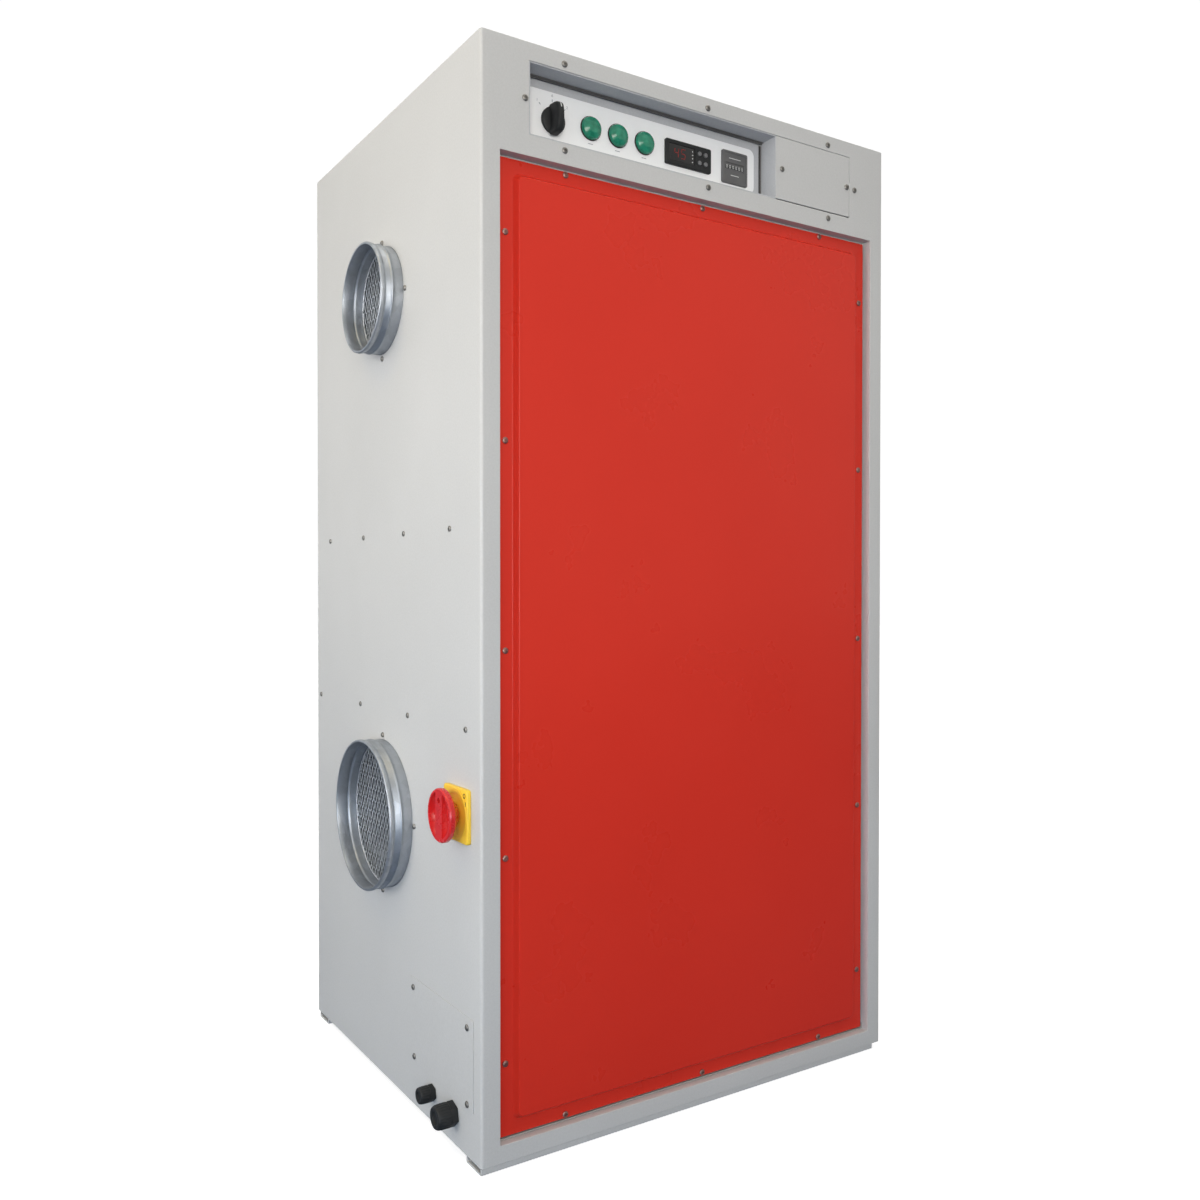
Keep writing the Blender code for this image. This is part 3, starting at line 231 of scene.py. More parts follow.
def galvanised(name, base=(0.60, 0.62, 0.65), cell=95.0, rough=0.30, metal=0.92):
    """Hot-dip zinc: spangle cells of differing tone and gloss, a faint fine bump."""
    m, nt, p = mat_new(name)
    v = coords(nt)
    warp = nd(nt, "ShaderNodeVectorMath", operation="ADD")
    nt.links.new(v, warp.inputs[0])
    nz = nd(nt, "ShaderNodeTexNoise")
    nz.inputs["Scale"].default_value = 60.0
    nt.links.new(v, nz.inputs["Vector"])
    sc = nd(nt, "ShaderNodeVectorMath", operation="SCALE")
    sc.inputs["Scale"].default_value = 0.006
    nt.links.new(nz.outputs["Color"], sc.inputs[0])
    nt.links.new(sc.outputs["Vector"], warp.inputs[1])
    vor = nd(nt, "ShaderNodeTexVoronoi")
    vor.inputs["Scale"].default_value = cell
    nt.links.new(warp.outputs["Vector"], vor.inputs["Vector"])
    sep = nd(nt, "ShaderNodeSeparateColor")
    nt.links.new(vor.outputs["Color"], sep.inputs["Color"])
    d, l = [tuple(c * k for c in base) for k in (0.90, 1.07)]
    col = ramp(nt, sep.outputs["Red"], [(0.0, d), (0.55, base), (1.0, l)])
    stain = noise(nt, v, 14.0, 5.0, 0.65)
    col = mix(nt, rng(nt, stain, 0.0, 0.30, 0.45, 0.75), col, tuple(c * 0.80 for c in base))
    nt.links.new(col, p.inputs["Base Color"])
    nt.links.new(rng(nt, sep.outputs["Green"], rough - 0.03, rough + 0.05), p.inputs["Roughness"])
    p.inputs["Metallic"].default_value = metal
    n = bump(nt, sep.outputs["Blue"], 0.03, 0.0003)
    n = bump(nt, noise(nt, v, 240.0, 2.0, 0.5), 0.12, 0.0003, n)
    nt.links.new(n, p.inputs["Normal"])
    return m


def plated(name, base, rough=0.28):
    """Bright zinc or chrome-like plating with fine scratches."""
    m, nt, p = mat_new(name)
    v = coords(nt)
    n1 = noise(nt, v, 160.0, 4.0, 0.6)
    col = ramp(nt, n1, [(0.3, tuple(c * 0.75 for c in base)), (0.7, base)])
    nt.links.new(col, p.inputs["Base Color"])
    nt.links.new(rng(nt, n1, rough - 0.06, rough + 0.12), p.inputs["Roughness"])
    p.inputs["Metallic"].default_value = 1.0
    nt.links.new(bump(nt, noise(nt, v, 900.0, 2.0, 0.5), 0.12, 0.0001), p.inputs["Normal"])
    return m


def brushed(name, base, axis_scale=(6.0, 420.0, 420.0), rough=0.34):
    """Milled metal with directional grain."""
    m, nt, p = mat_new(name)
    v = coords(nt, axis_scale)
    g = noise(nt, v, 1.0, 4.0, 0.6)
    v2 = coords(nt)
    t = noise(nt, v2, 20.0, 3.0, 0.5)
    col = mix(nt, 0.5, ramp(nt, g, [(0.3, tuple(c * 0.78 for c in base)), (0.7, base)]),
              ramp(nt, t, [(0.3, tuple(c * 0.85 for c in base)), (0.7, tuple(min(1.0, c * 1.08) for c in base))]))
    nt.links.new(col, p.inputs["Base Color"])
    nt.links.new(rng(nt, g, rough - 0.06, rough + 0.10), p.inputs["Roughness"])
    p.inputs["Metallic"].default_value = 1.0
    nt.links.new(bump(nt, g, 0.10, 0.0002), p.inputs["Normal"])
    return m


def plastic(name, base, rough=0.38, grain=700.0, strength=0.18, spec=0.5, coat=0.0, var=0.12):
    """Moulded plastic: spark-eroded grain, faint tone drift and rub marks."""
    m, nt, p = mat_new(name)
    v = coords(nt)
    n1 = noise(nt, v, 35.0, 4.0, 0.6)
    lo = tuple(max(0.0, c * (1 - var)) for c in base)
    hi = tuple(min(1.0, c * (1 + var)) for c in base)
    nt.links.new(ramp(nt, n1, [(0.3, lo), (0.7, hi)]), p.inputs["Base Color"])
    nt.links.new(rng(nt, noise(nt, v, 90.0, 3.0, 0.6), rough - 0.06, rough + 0.08, 0.3, 0.7), p.inputs["Roughness"])
    nt.links.new(bump(nt, noise(nt, v, grain, 1.5, 0.5), strength, 0.0002), p.inputs["Normal"])
    p.inputs["Specular IOR Level"].default_value = spec
    p.inputs["Coat Weight"].default_value = coat
    p.inputs["Coat Roughness"].default_value = 0.08
    return m


def lens(name, dark, light):
    """Moulded lamp lens: deep colour with a lighter scattering body and a glossy skin."""
    m, nt, p = mat_new(name)
    v = coords(nt)
    n1 = noise(nt, v, 120.0, 3.0, 0.6)
    body = ramp(nt, n1, [(0.35, dark), (0.65, light)])
    nt.links.new(body, p.inputs["Base Color"])
    nt.links.new(rng(nt, n1, 0.14, 0.26), p.inputs["Roughness"])
    p.inputs["Coat Weight"].default_value = 0.35
    p.inputs["Coat Roughness"].default_value = 0.06
    return m


def fibre(name, dark, light, scale=260.0):
    """Non-woven or fibrous material."""
    m, nt, p = mat_new(name)
    v = coords(nt, (1.0, 1.0, 0.25))
    n1 = noise(nt, v, scale, 6.0, 0.75)
    nt.links.new(ramp(nt, n1, [(0.3, dark), (0.7, light)]), p.inputs["Base Color"])
    nt.links.new(rng(nt, n1, 0.82, 0.98), p.inputs["Roughness"])
    p.inputs["Specular IOR Level"].default_value = 0.2
    nt.links.new(bump(nt, n1, 0.6, 0.0008), p.inputs["Normal"])
    return m


def honeycomb(name, dark, light):
    """Corrugated silica paper: rings of small flutes about the rotor's axis, the flutes' mouths coloured dark as
    painted shade inside the channels.
    """
    m, nt, p = mat_new(name)
    v = coords(nt)
    vor = nd(nt, "ShaderNodeTexVoronoi", feature="DISTANCE_TO_EDGE")
    vor.inputs["Scale"].default_value = 330.0
    flat = nd(nt, "ShaderNodeVectorMath", operation="MULTIPLY")
    flat.inputs[1].default_value = (1.0, 1.0, 0.02)
    nt.links.new(v, flat.inputs[0])
    nt.links.new(flat.outputs["Vector"], vor.inputs["Vector"])
    edge = rng(nt, vor.outputs["Distance"], 0.0, 1.0, 0.02, 0.16)
    # painted shade: the cells' middles take the dark colour of the shade down each flute, their edges the light paper
    # walls
    nt.links.new(ramp(nt, edge, [(0.0, light), (1.0, dark)]), p.inputs["Base Color"])
    nt.links.new(rng(nt, edge, 0.85, 0.95), p.inputs["Roughness"])
    nt.links.new(bump(nt, edge, 0.8, 0.001), p.inputs["Normal"])
    return m


# one finish per material slot of the record
GREY_D, GREY_L = (0.555, 0.555, 0.548), (0.585, 0.585, 0.578)
COAT = powder_coat("coated_grey", GREY_D, GREY_L, rough=0.42, spec=0.30, peel=0.30, wave=0.03)
COAT_IN = powder_coat("coated_grey_plate", (0.50, 0.51, 0.53), (0.54, 0.55, 0.57), rough=0.42, spec=0.30, peel=0.30)
RED = powder_coat("coated_red", (0.66, 0.030, 0.015), (0.69, 0.033, 0.017), rough=0.30, spec=0.26, peel=0.18, wave=0.03, speck=0.015)
ZINC = galvanised("galvanised", base=(0.43, 0.46, 0.50), rough=0.44)
ZINC_IN = galvanised("galvanised_inside", base=(0.42, 0.44, 0.47), cell=70.0, rough=0.40)
MESH = plated("mesh_wire", (0.74, 0.77, 0.81), 0.46)
SCREW = plated("zinc_screw", (0.33, 0.32, 0.30), 0.42)
SCREW_R = plated("screw_in_red", (0.46, 0.27, 0.24), 0.45)
WHITE = plastic("overlay_white", (0.93, 0.94, 0.95), rough=0.34, grain=500.0, strength=0.05, var=0.015)
BLACK = plastic("black_plastic", (0.018, 0.019, 0.020), rough=0.52, spec=0.32)
BLACK_G = plastic("black_gloss", (0.006, 0.006, 0.008), rough=0.12, grain=200.0, strength=0.01, coat=0.3)
GREYPL = plastic("grey_plastic", (0.115, 0.115, 0.118), rough=0.40)
KEYPL = plastic("key_plastic", (0.17, 0.17, 0.175), rough=0.45)
# dark print, which also draws the painted shade bars under the lamps
PRINT_AND_SHADE = plastic("print_dark_and_lamp_shade", (0.34, 0.36, 0.40), rough=0.5, strength=0.02)
PRINT_L = plastic("print_light", (0.62, 0.63, 0.62), rough=0.5, strength=0.02)
GREEN = lens("green_lens", (0.010, 0.185, 0.105), (0.022, 0.285, 0.170))
YELLOW = plastic("yellow_plastic", (0.93, 0.61, 0.045), rough=0.34, strength=0.10, var=0.04)
REDPL = plastic("red_plastic", (0.62, 0.018, 0.018), rough=0.24, strength=0.06, coat=0.25, var=0.06)
RUBBER = plastic("rubber", (0.022, 0.022, 0.022), rough=0.75, grain=500.0, strength=0.3, spec=0.3)
# near-black coat of the pan's lips: painted shade for the shade lines where the soffit meets the plate
LIP_SHADE = powder_coat("lip_painted_shade", (0.13, 0.125, 0.12), (0.16, 0.155, 0.15), rough=0.5)
SILL = plastic("sill_seal", (0.42, 0.41, 0.39), rough=0.7, grain=500.0, strength=0.3, spec=0.2)
MOTOR = powder_coat("motor_black", (0.026, 0.027, 0.030), (0.036, 0.037, 0.041), rough=0.48, peel=0.6)
HEAT = brushed("heater_steel", (0.36, 0.32, 0.29), (300.0, 300.0, 8.0), 0.42)
ALU = brushed("aluminium", (0.70, 0.71, 0.72), (10.0, 10.0, 500.0), 0.32)
CAST = plated("cast_aluminium", (0.55, 0.56, 0.57), 0.42)
FILTER = fibre("filter_media", (0.55, 0.57, 0.56), (0.80, 0.82, 0.80))
SILICA = honeycomb("silica_matrix", (0.16, 0.15, 0.13), (0.76, 0.74, 0.68))
COPPER = brushed("brass", (0.72, 0.50, 0.22), (300.0, 300.0, 300.0), 0.3)


def glow(name, colour, strength):
    m, nt, p = mat_new(name)
    v = coords(nt)
    col = ramp(nt, noise(nt, v, 600.0, 2.0, 0.5), [(0.3, tuple(c * 0.8 for c in colour)), (0.7, colour)])
    nt.links.new(col, p.inputs["Base Color"])
    nt.links.new(col, p.inputs["Emission Color"])
    p.inputs["Emission Strength"].default_value = strength
    p.inputs["Roughness"].default_value = 0.3
    return m


DIGIT = glow("digit_red", (0.22, 0.012, 0.012), 0.10)


# ------------------------------------------------------------------ mesh helpers (millimetres)
def fresh():
    return bmesh.new()


def axis_matrix(axis):
    if axis == "X":
        return Matrix.Rotation(math.pi / 2, 4, "Y")
    if axis == "Y":
        return Matrix.Rotation(-math.pi / 2, 4, "X")
    return Matrix.Identity(4)


def box(bm, x0, x1, y0, y1, z0, z1):
    vs = [bm.verts.new(p) for p in ((x0, y0, z0), (x1, y0, z0), (x1, y1, z0), (x0, y1, z0),
                                    (x0, y0, z1), (x1, y0, z1), (x1, y1, z1), (x0, y1, z1))]
    for f in ((0, 3, 2, 1), (4, 5, 6, 7), (0, 1, 5, 4), (1, 2, 6, 5), (2, 3, 7, 6), (3, 0, 4, 7)):
        bm.faces.new([vs[i] for i in f])
    return bm


def fillet(pts, radii, n=4, closed=False):
    """Rounds the corners of a 2-D polyline. radii is one number, or one per point (0 keeps it sharp)."""
    m = len(pts)
    if not isinstance(radii, (list, tuple)):
        radii = [radii] * m
    out = []
    for i in range(m):
        r = radii[i]
        if (not closed and i in (0, m - 1)) or r <= 0:
            out.append(tuple(pts[i]))
            continue
        p = Vector(pts[i])
        a = Vector(pts[(i - 1) % m]) - p
        b = Vector(pts[(i + 1) % m]) - p
        la, lb = a.length, b.length
        if la < 1e-9 or lb < 1e-9:
            continue
        a.normalize()
        b.normalize()
        ang = math.acos(max(-1.0, min(1.0, a.dot(b))))
        if ang > math.pi - 1e-3:
            out.append(tuple(p))
            continue
        d = min(r / math.tan(ang / 2), 0.48 * la, 0.48 * lb)
        rr = d * math.tan(ang / 2)
        c = p + (a + b).normalized() * (rr / math.sin(ang / 2))
        s, e = p + a * d, p + b * d
        va, vb = s - c, e - c
        t0 = math.atan2(va.y, va.x)
        t1 = math.atan2(vb.y, vb.x)
        dt = (t1 - t0 + math.pi) % (2 * math.pi) - math.pi
        for k in range(n + 1):
            t = t0 + dt * k / n
            out.append((c.x + rr * math.cos(t), c.y + rr * math.sin(t)))
    return out


def lathe(bm, profile, n, centre=(0, 0, 0), axis="Z", phase=0.0):
    """Turns a profile of (radius, height) about the axis; radius 0 is a pole, and a profile
    clear of the axis is closed on itself."""
    m = Matrix.Translation(centre) @ axis_matrix(axis)
    rings = []
    for r, h in profile:
        if r < 1e-6:
            rings.append([bm.verts.new(m @ Vector((0, 0, h)))])
        else:
            rings.append([bm.verts.new(m @ Vector((r * math.cos(phase + 2 * math.pi * i / n),
                                                   r * math.sin(phase + 2 * math.pi * i / n), h))) for i in range(n)])
    closed = len(rings[0]) > 1 and len(rings[-1]) > 1
    for a, b in list(zip(rings, rings[1:])) + ([(rings[-1], rings[0])] if closed else []):
        for i in range(n):
            j = (i + 1) % n
            if len(a) == 1:
                bm.faces.new((a[0], b[j], b[i]))
            elif len(b) == 1:
                bm.faces.new((a[i], a[j], b[0]))
            else:
                bm.faces.new((a[i], a[j], b[j], b[i]))
    return bm


def cyl(bm, centre, r, h0, h1, n=32, axis="Z", ch=0.0):
    if ch > 0:
        return lathe(bm, ((0, h0), (r - ch, h0), (r, h0 + ch), (r, h1 - ch), (r - ch, h1), (0, h1)), n, centre, axis)
    return lathe(bm, ((0, h0), (r, h0), (r, h1), (0, h1)), n, centre, axis)


def prism(bm, outline, a0, a1, axis="Z"):
    """Extrudes a 2-D outline. axis Z: (x, y); axis Y: (x, z); axis X: (y, z)."""
    def place(p, a):
        return (p[0], p[1], a) if axis == "Z" else (p[0], a, p[1]) if axis == "Y" else (a, p[0], p[1])
    lo = [bm.verts.new(place(p, a0)) for p in outline]
    hi = [bm.verts.new(place(p, a1)) for p in outline]
    n = len(outline)
    bm.faces.new(lo[::-1])
    bm.faces.new(hi)
    for i in range(n):
        j = (i + 1) % n
        bm.faces.new((lo[i], lo[j], hi[j], hi[i]))
    return bm


def rounded(x0, x1, z0, z1, r, n=6):
    pts = []
    for cx, cz, a0 in ((x1 - r, z0 + r, -90), (x1 - r, z1 - r, 0), (x0 + r, z1 - r, 90), (x0 + r, z0 + r, 180)):
        for i in range(n + 1):
            a = math.radians(a0 + 90 * i / n)
            pts.append((cx + r * math.cos(a), cz + r * math.sin(a)))
    return pts


def loft(bm, loops, closed=False, caps=True):
    vs = [[bm.verts.new(p) for p in loop] for loop in loops]
    n = len(vs[0])
    for a, b in list(zip(vs, vs[1:])) + ([(vs[-1], vs[0])] if closed else []):
        for i in range(n):
            j = (i + 1) % n
            bm.faces.new((a[i], a[j], b[j], b[i]))
    if not closed and caps:
        bm.faces.new(vs[0][::-1])
        bm.faces.new(vs[-1])
    return bm


def slab(bm, outline, a0, a1, axis="Z", r0=0.0, r1=0.0, n=3, cen=None):
    """A plate from a rounded outline whose two edges are rounded by r0 (at a0) and r1 (at a1):
    the outline is drawn in towards its middle by the edge radius."""
    if cen is None:
        cen = (sum(p[0] for p in outline) / len(outline), sum(p[1] for p in outline) / len(outline))
    xs, ys = [abs(p[0] - cen[0]) for p in outline], [abs(p[1] - cen[1]) for p in outline]
    mx, my = max(xs), max(ys)

    def inset(d):
        return [(cen[0] + (p[0] - cen[0]) * (mx - d) / mx, cen[1] + (p[1] - cen[1]) * (my - d) / my) for p in outline]

    def place(p, a):
        return (p[0], p[1], a) if axis == "Z" else (p[0], a, p[1]) if axis == "Y" else (a, p[0], p[1])
    s = 1.0 if a1 > a0 else -1.0
    rows = []
    if r0 > 0:
        for k in range(n + 1):
            t = math.pi / 2 * k / n
            rows.append((r0 * (1 - math.sin(t)), a0 + s * r0 * (1 - math.cos(t))))
    else:
        rows.append((0.0, a0))
    if r1 > 0:
        for k in range(n + 1):
            t = math.pi / 2 * k / n
            rows.append((r1 * (1 - math.cos(t)), a1 - s * r1 * (1 - math.sin(t))))
    else:
        rows.append((0.0, a1))
    return loft(bm, [[place(p, a) for p in inset(d)] for d, a in rows])


def frame_ring(bm, profile, hx, z0, z1, cx=0.0):
    """A mitred rectangular ring in the XZ plane: profile of (outward offset, y)."""
    loops = [[(cx + sx * (hx + u), y, z1 + u if top else z0 - u)
              for sx, top in ((-1, False), (1, False), (1, True), (-1, True))] for u, y in profile]
    return loft(bm, loops, closed=True)


def raw_object(bm, name, scale):
    bmesh.ops.recalc_face_normals(bm, faces=bm.faces)
    me = bpy.data.meshes.new(name)
    if scale != 1.0:
        bmesh.ops.transform(bm, matrix=Matrix.Scale(scale, 4), verts=bm.verts)
    bm.to_mesh(me)
    bm.free()
    ob = bpy.data.objects.new(name, me)
    scene.collection.objects.link(ob)
    return ob


def evaluated(ob):
    bpy.context.view_layer.update()
    deps = bpy.context.evaluated_depsgraph_get()
    return bpy.data.meshes.new_from_object(ob.evaluated_get(deps))


def drop(ob):
    me = ob.data
    bpy.data.objects.remove(ob, do_unlink=True)
    bpy.data.meshes.remove(me)


def boolean(base, tools, operation):
    if not isinstance(tools, (list, tuple)):
        tools = [tools]
    a = raw_object(base, "tmp_a", 1.0)
    for tool in tools:
        b = raw_object(tool, "tmp_b", 1.0)
        mod = a.modifiers.new("cut", "BOOLEAN")
        mod.operation = operation
        mod.solver = "EXACT"
        mod.object = b
        me = evaluated(a)
        a.modifiers.clear()
        old = a.data
        a.data = me
        bpy.data.meshes.remove(old)
        drop(b)
    out = bmesh.new()
    out.from_mesh(a.data)
    drop(a)
    bmesh.ops.remove_doubles(out, verts=out.verts, dist=0.002)
    bmesh.ops.dissolve_degenerate(out, edges=out.edges, dist=0.002)
    return out


def cut(base, *tools):
    return boolean(base, list(tools), "DIFFERENCE")


def union(base, *tools):
    return boolean(base, list(tools), "UNION")


def join(bm, *others):
    """Adds other bmeshes as separate solids of the same piece."""
    for o in others:
        me = bpy.data.meshes.new("tmp_join")
        o.to_mesh(me)
        o.free()
        bm.from_mesh(me)
        bpy.data.meshes.remove(me)
    return bm


def moved(bm, matrix):
    bmesh.ops.transform(bm, matrix=matrix, verts=bm.verts)
    return bm


PIECES = []


def piece(name, bm, mat, body, replaces=(), smooth=32, bevel=0.0, seg=2, limit=35, mats=None):
    """A finished piece riding on a body. mats: more materials, chosen by face.material_index."""
    ob = raw_object(bm, name, MM)
    ob.data.materials.append(mat)
    for m in mats or ():
        ob.data.materials.append(m)
    ob.data.shade_smooth()
    ob.data.set_sharp_from_angle(angle=math.radians(smooth))
    if bevel > 0:
        mod = ob.modifiers.new("edge", "BEVEL")
        mod.width = bevel * MM
        mod.segments = seg
        mod.limit_method = "ANGLE"
        mod.angle_limit = math.radians(limit)
        mod.harden_normals = True
        mod.use_clamp_overlap = True
        me = evaluated(ob)
        ob.modifiers.clear()
        old = ob.data
        ob.data = me
        bpy.data.meshes.remove(old)
        me.name = name
    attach(ob, body)
    if replaces:
        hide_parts(*replaces)
    PIECES.append(ob)
    return ob


def mark(bm, index, test):
    """Gives the faces whose centre passes the test another material."""
    for f in bm.faces:
        if test(f.calc_center_median()):
            f.material_index = index
    return bm


def text_bm(body, size, depth, place):
    """Plain digits as solid geometry, laid out in x (right) and y (up), then placed by a matrix."""
    cu = bpy.data.curves.new("tmp_text", "FONT")
    cu.body = body
    cu.size = size
    cu.extrude = depth
    cu.align_x = "CENTER"
    cu.align_y = "CENTER"
    cu.resolution_u = 3
    ob = bpy.data.objects.new("tmp_text", cu)
    scene.collection.objects.link(ob)
    me = evaluated(ob)
    bm = bmesh.new()
    bm.from_mesh(me)
    bpy.data.meshes.remove(me)
    bpy.data.objects.remove(ob, do_unlink=True)
    bpy.data.curves.remove(cu)
    bmesh.ops.remove_doubles(bm, verts=bm.verts, dist=0.0005)
    bmesh.ops.transform(bm, matrix=place, verts=bm.verts)
    return bm


# a recessed pan-head screw, head towards +Z with its seat at z = 0
def screw_mesh(r, h, shank, recess=True, n=28):
    dome = []
    for k in range(7):
        t = k / 6
        rr = r * math.cos(t * math.pi / 2 * 0.92)
        dome.append((rr if k < 6 else 0.0, h * (0.35 + 0.65 * math.sin(t * math.pi / 2))))
    prof = [(0, -shank), (1.2, -shank), (1.8, -shank + 0.8), (1.8, 0.0), (r * 0.97, 0.0), (r, h * 0.12)] + dome
    bm = lathe(fresh(), prof, n)
    if recess:
        a = prism(fresh(), [(-r * 0.56, -0.42), (r * 0.56, -0.42), (r * 0.56, 0.42), (-r * 0.56, 0.42)], h - 1.25, h + 1)
        b = prism(fresh(), [(-0.42, -r * 0.56), (0.42, -r * 0.56), (0.42, r * 0.56), (-0.42, r * 0.56)], h - 1.25, h + 1)
        bm = cut(bm, a, b)
    bmesh.ops.recalc_face_normals(bm, faces=bm.faces)
    me = bpy.data.meshes.new("tmp_screw")
    bm.to_mesh(me)
    bm.free()
    return me


PAN = screw_mesh(3.9, 2.0, 6.0)
PAN_S = screw_mesh(3.6, 2.6, 6.0)
TURN = {"-Y": Matrix.Rotation(math.pi / 2, 4, "X"), "+Y": Matrix.Rotation(-math.pi / 2, 4, "X"),
        "-X": Matrix.Rotation(-math.pi / 2, 4, "Y"), "+X": Matrix.Rotation(math.pi / 2, 4, "Y")}


def screws(mesh, places, way, seed):
    """Copies of a screw at the places, each turned by its own angle about its axis."""
    rnd = random.Random(seed)
    bm = fresh()
    for p in places:
        part = bmesh.new()
        part.from_mesh(mesh)
        moved(part, Matrix.Translation(p) @ TURN[way] @ Matrix.Rotation(rnd.uniform(0, math.pi / 2), 4, "Z"))
        join(bm, part)
    return bm


# ================================================================== cabinet
def arc2(cx, cy, r, a0, a1, n=8):
    return [(cx + r * math.cos(math.radians(a0 + (a1 - a0) * i / n)),
             cy + r * math.sin(math.radians(a0 + (a1 - a0) * i / n))) for i in range(n + 1)]


CR = 4.0
REAR_Y = w_hi.y
outer = ([(-302, REAR_Y), (-HX, REAR_Y)] + arc2(-HX + CR, FRONT + CR, CR, 180, 270) +
         arc2(HX - CR, FRONT + CR, CR, 270, 360) + [(HX, REAR_Y), (302, REAR_Y)])
inner = ([(302, REAR_Y - T), (HX - T, REAR_Y - T)] + arc2(HX - CR, FRONT + CR, CR - T, 360, 270) +
         arc2(-HX + CR, FRONT + CR, CR - T, 270, 180) + [(-HX + T, REAR_Y - T), (-302, REAR_Y - T)])
wrap = prism(fresh(), outer + inner, SKID_H, TOP)
holes = fresh()
box(holes, -OPEN_X, OPEN_X, FRONT - 5, FRONT + 3, OPEN_Z0, OPEN_Z1)
prism(holes, rounded(HEAD_X0, HEAD_X1, HEAD_Z0, HEAD_Z1, 1.2, 4), FRONT - 5, FRONT + 3, "Y")
for side, y, z, r in PORTS.values():
    cyl(holes, (side * HX, y, z), r + 0.6, -6, 6, 72, "X")
cyl(holes, (-HX, ISO[0], ISO[1]), 18.0, -6, 6, 32, "X")
box(holes, -HX - 5, -HX + 4, -236.0, -105.0, 80.0, 150.0)
wrap = cut(wrap, holes)
piece("cabinet_shell", wrap, COAT, "cabinet", ["cabinet_wrap"], bevel=0.55, seg=3)

# angle frame behind the opening: it lands the panel
LIP_Y = lip_hi.y - 1.8
piece("landing_frame_fine", frame_ring(fresh(), ((0.3, FRONT + T + 0.3), (2.1, FRONT + T + 0.3), (2.1, LIP_Y + 1.8),
                                                 (-20, LIP_Y + 1.8), (-20, LIP_Y), (0.3, LIP_Y)), OPEN_X, OPEN_Z0, OPEN_Z1),
      COAT, "cabinet", ["landing_frame"], bevel=0.3)

# lid, back and base
t_lo, t_hi = nb("top_panel")
lid = box(fresh(), t_lo.x, t_hi.x, t_lo.y, t_hi.y, t_lo.z, t_hi.z)
lid = cut(lid, box(fresh(), t_lo.x + 1.8, t_hi.x - 1.8, t_lo.y + 1.8, t_hi.y - 1.8, t_lo.z - 5, t_hi.z - 2))
piece("top_panel_fine", lid, COAT, "cabinet", ["top_panel"], bevel=0.8, seg=3)
r_lo, r_hi = nb("rear_panel")
rear = box(fresh(), r_lo.x, r_hi.x, r_lo.y, r_hi.y, r_lo.z, r_hi.z)
piece("rear_panel_fine", rear, COAT, "cabinet", ["rear_panel"], bevel=0.8, seg=3)
piece("rear_screw_heads", screws(PAN, [(x, r_hi.y, z) for x, z in REAR_SCREWS], "+Y", 11), SCREW, "cabinet", ["rear_screws"])
b_lo, b_hi = nb("base_tray")
tray = cut(box(fresh(), b_lo.x, b_hi.x, b_lo.y, b_hi.y, b_lo.z, b_hi.z),
           box(fresh(), b_lo.x + 2, b_hi.x - 2, b_lo.y + 2, b_hi.y - 2, b_lo.z + 2, b_hi.z + 5))
piece("base_tray_fine", tray, ZINC_IN, "cabinet", ["base_tray"], bevel=0.6)
for key in ("front", "rear"):
    lo, hi = nb("skid_" + key)
    prof = fillet([(lo.y, lo.z), (hi.y, lo.z), (hi.y, hi.z), (hi.y - 2.5, hi.z), (hi.y - 2.5, lo.z + 2.5),
                   (lo.y + 2.5, lo.z + 2.5), (lo.y + 2.5, hi.z), (lo.y, hi.z)], [2.2, 2.2, 0, 0, 1.0, 1.0, 0, 0], 4, True)
    piece("skid_rail_" + key, prism(fresh(), prof, lo.x, hi.x, "X"), COAT, "cabinet", ["skid_" + key], bevel=0.3)

# ================================================================== red front panel
SHEET = 1.5
FOOT_X, FOOT_Z0, FOOT_Z1 = 277.5, 49.0, 1149.0
RISE, RUN = 8.0, 5.4
SEG = 10


def panel_loop(inset, y, r):
    return [(x, y, z) for x, z in rounded(-FOOT_X + inset, FOOT_X - inset, FOOT_Z0 + inset, FOOT_Z1 - inset, r, SEG)]


def rect_loop(x, z0, z1, y, r):
    return [(px, y, pz) for px, pz in rounded(-x, x, z0, z1, r, SEG)]


section = [(-0.9, 0.0), (-0.35, 0.16), (0.12, 0.55)]        # (inset, forward rise): foot fillet, straight slope, crest
for k in range(1, 6):
    section.append((0.12 + 3.9 * k / 5, 0.55 + 6.1 * k / 5))
for k in range(1, 7):
    a = math.radians(90 * k / 6)
    section.append((4.02 + 1.55 * (1 - math.cos(a)) * 0.9 + 0.02 * k, 6.65 + 1.35 * math.sin(a)))
front = [rect_loop(FX, FZ0, FZ1, FLANGE_Y, 1.2)]
front += [panel_loop(i, FLANGE_Y - h, 9.0 - 3.4 * max(0.0, i) / RUN) for i, h in section]
back = [rect_loop(FX, FZ0, FZ1, FLANGE_Y + SHEET, 1.2)]
back += [panel_loop(i + 1.25 * max(0.0, 1.0 - (max(0.0, i) / 5.6) ** 3) + 0.05, FLANGE_Y - h + SHEET, 8.4 - 3.4 * max(0.0, i) / RUN)
         for i, h in section]
panel = loft(fresh(), back[::-1] + front)
piece("red_panel", panel, RED, "panel", ["front_panel"], smooth=50, bevel=0.35, limit=60)
heads = screws(PAN, [(x, FLANGE_Y, z) for x, z in PANEL_SCREWS], "-Y", 12)
for x, z in PANEL_SCREWS:                       # retaining washers that keep the screws in the panel
    lathe(heads, ((1.9, FLANGE_Y + SHEET + 0.3), (3.6, FLANGE_Y + SHEET + 0.3), (3.6, FLANGE_Y + SHEET + 1.2), (1.9, FLANGE_Y + SHEET + 1.2)), 20, (x, 0, z), "Y")
piece("panel_screw_heads", heads, SCREW_R, "panel", ["panel_screws"])

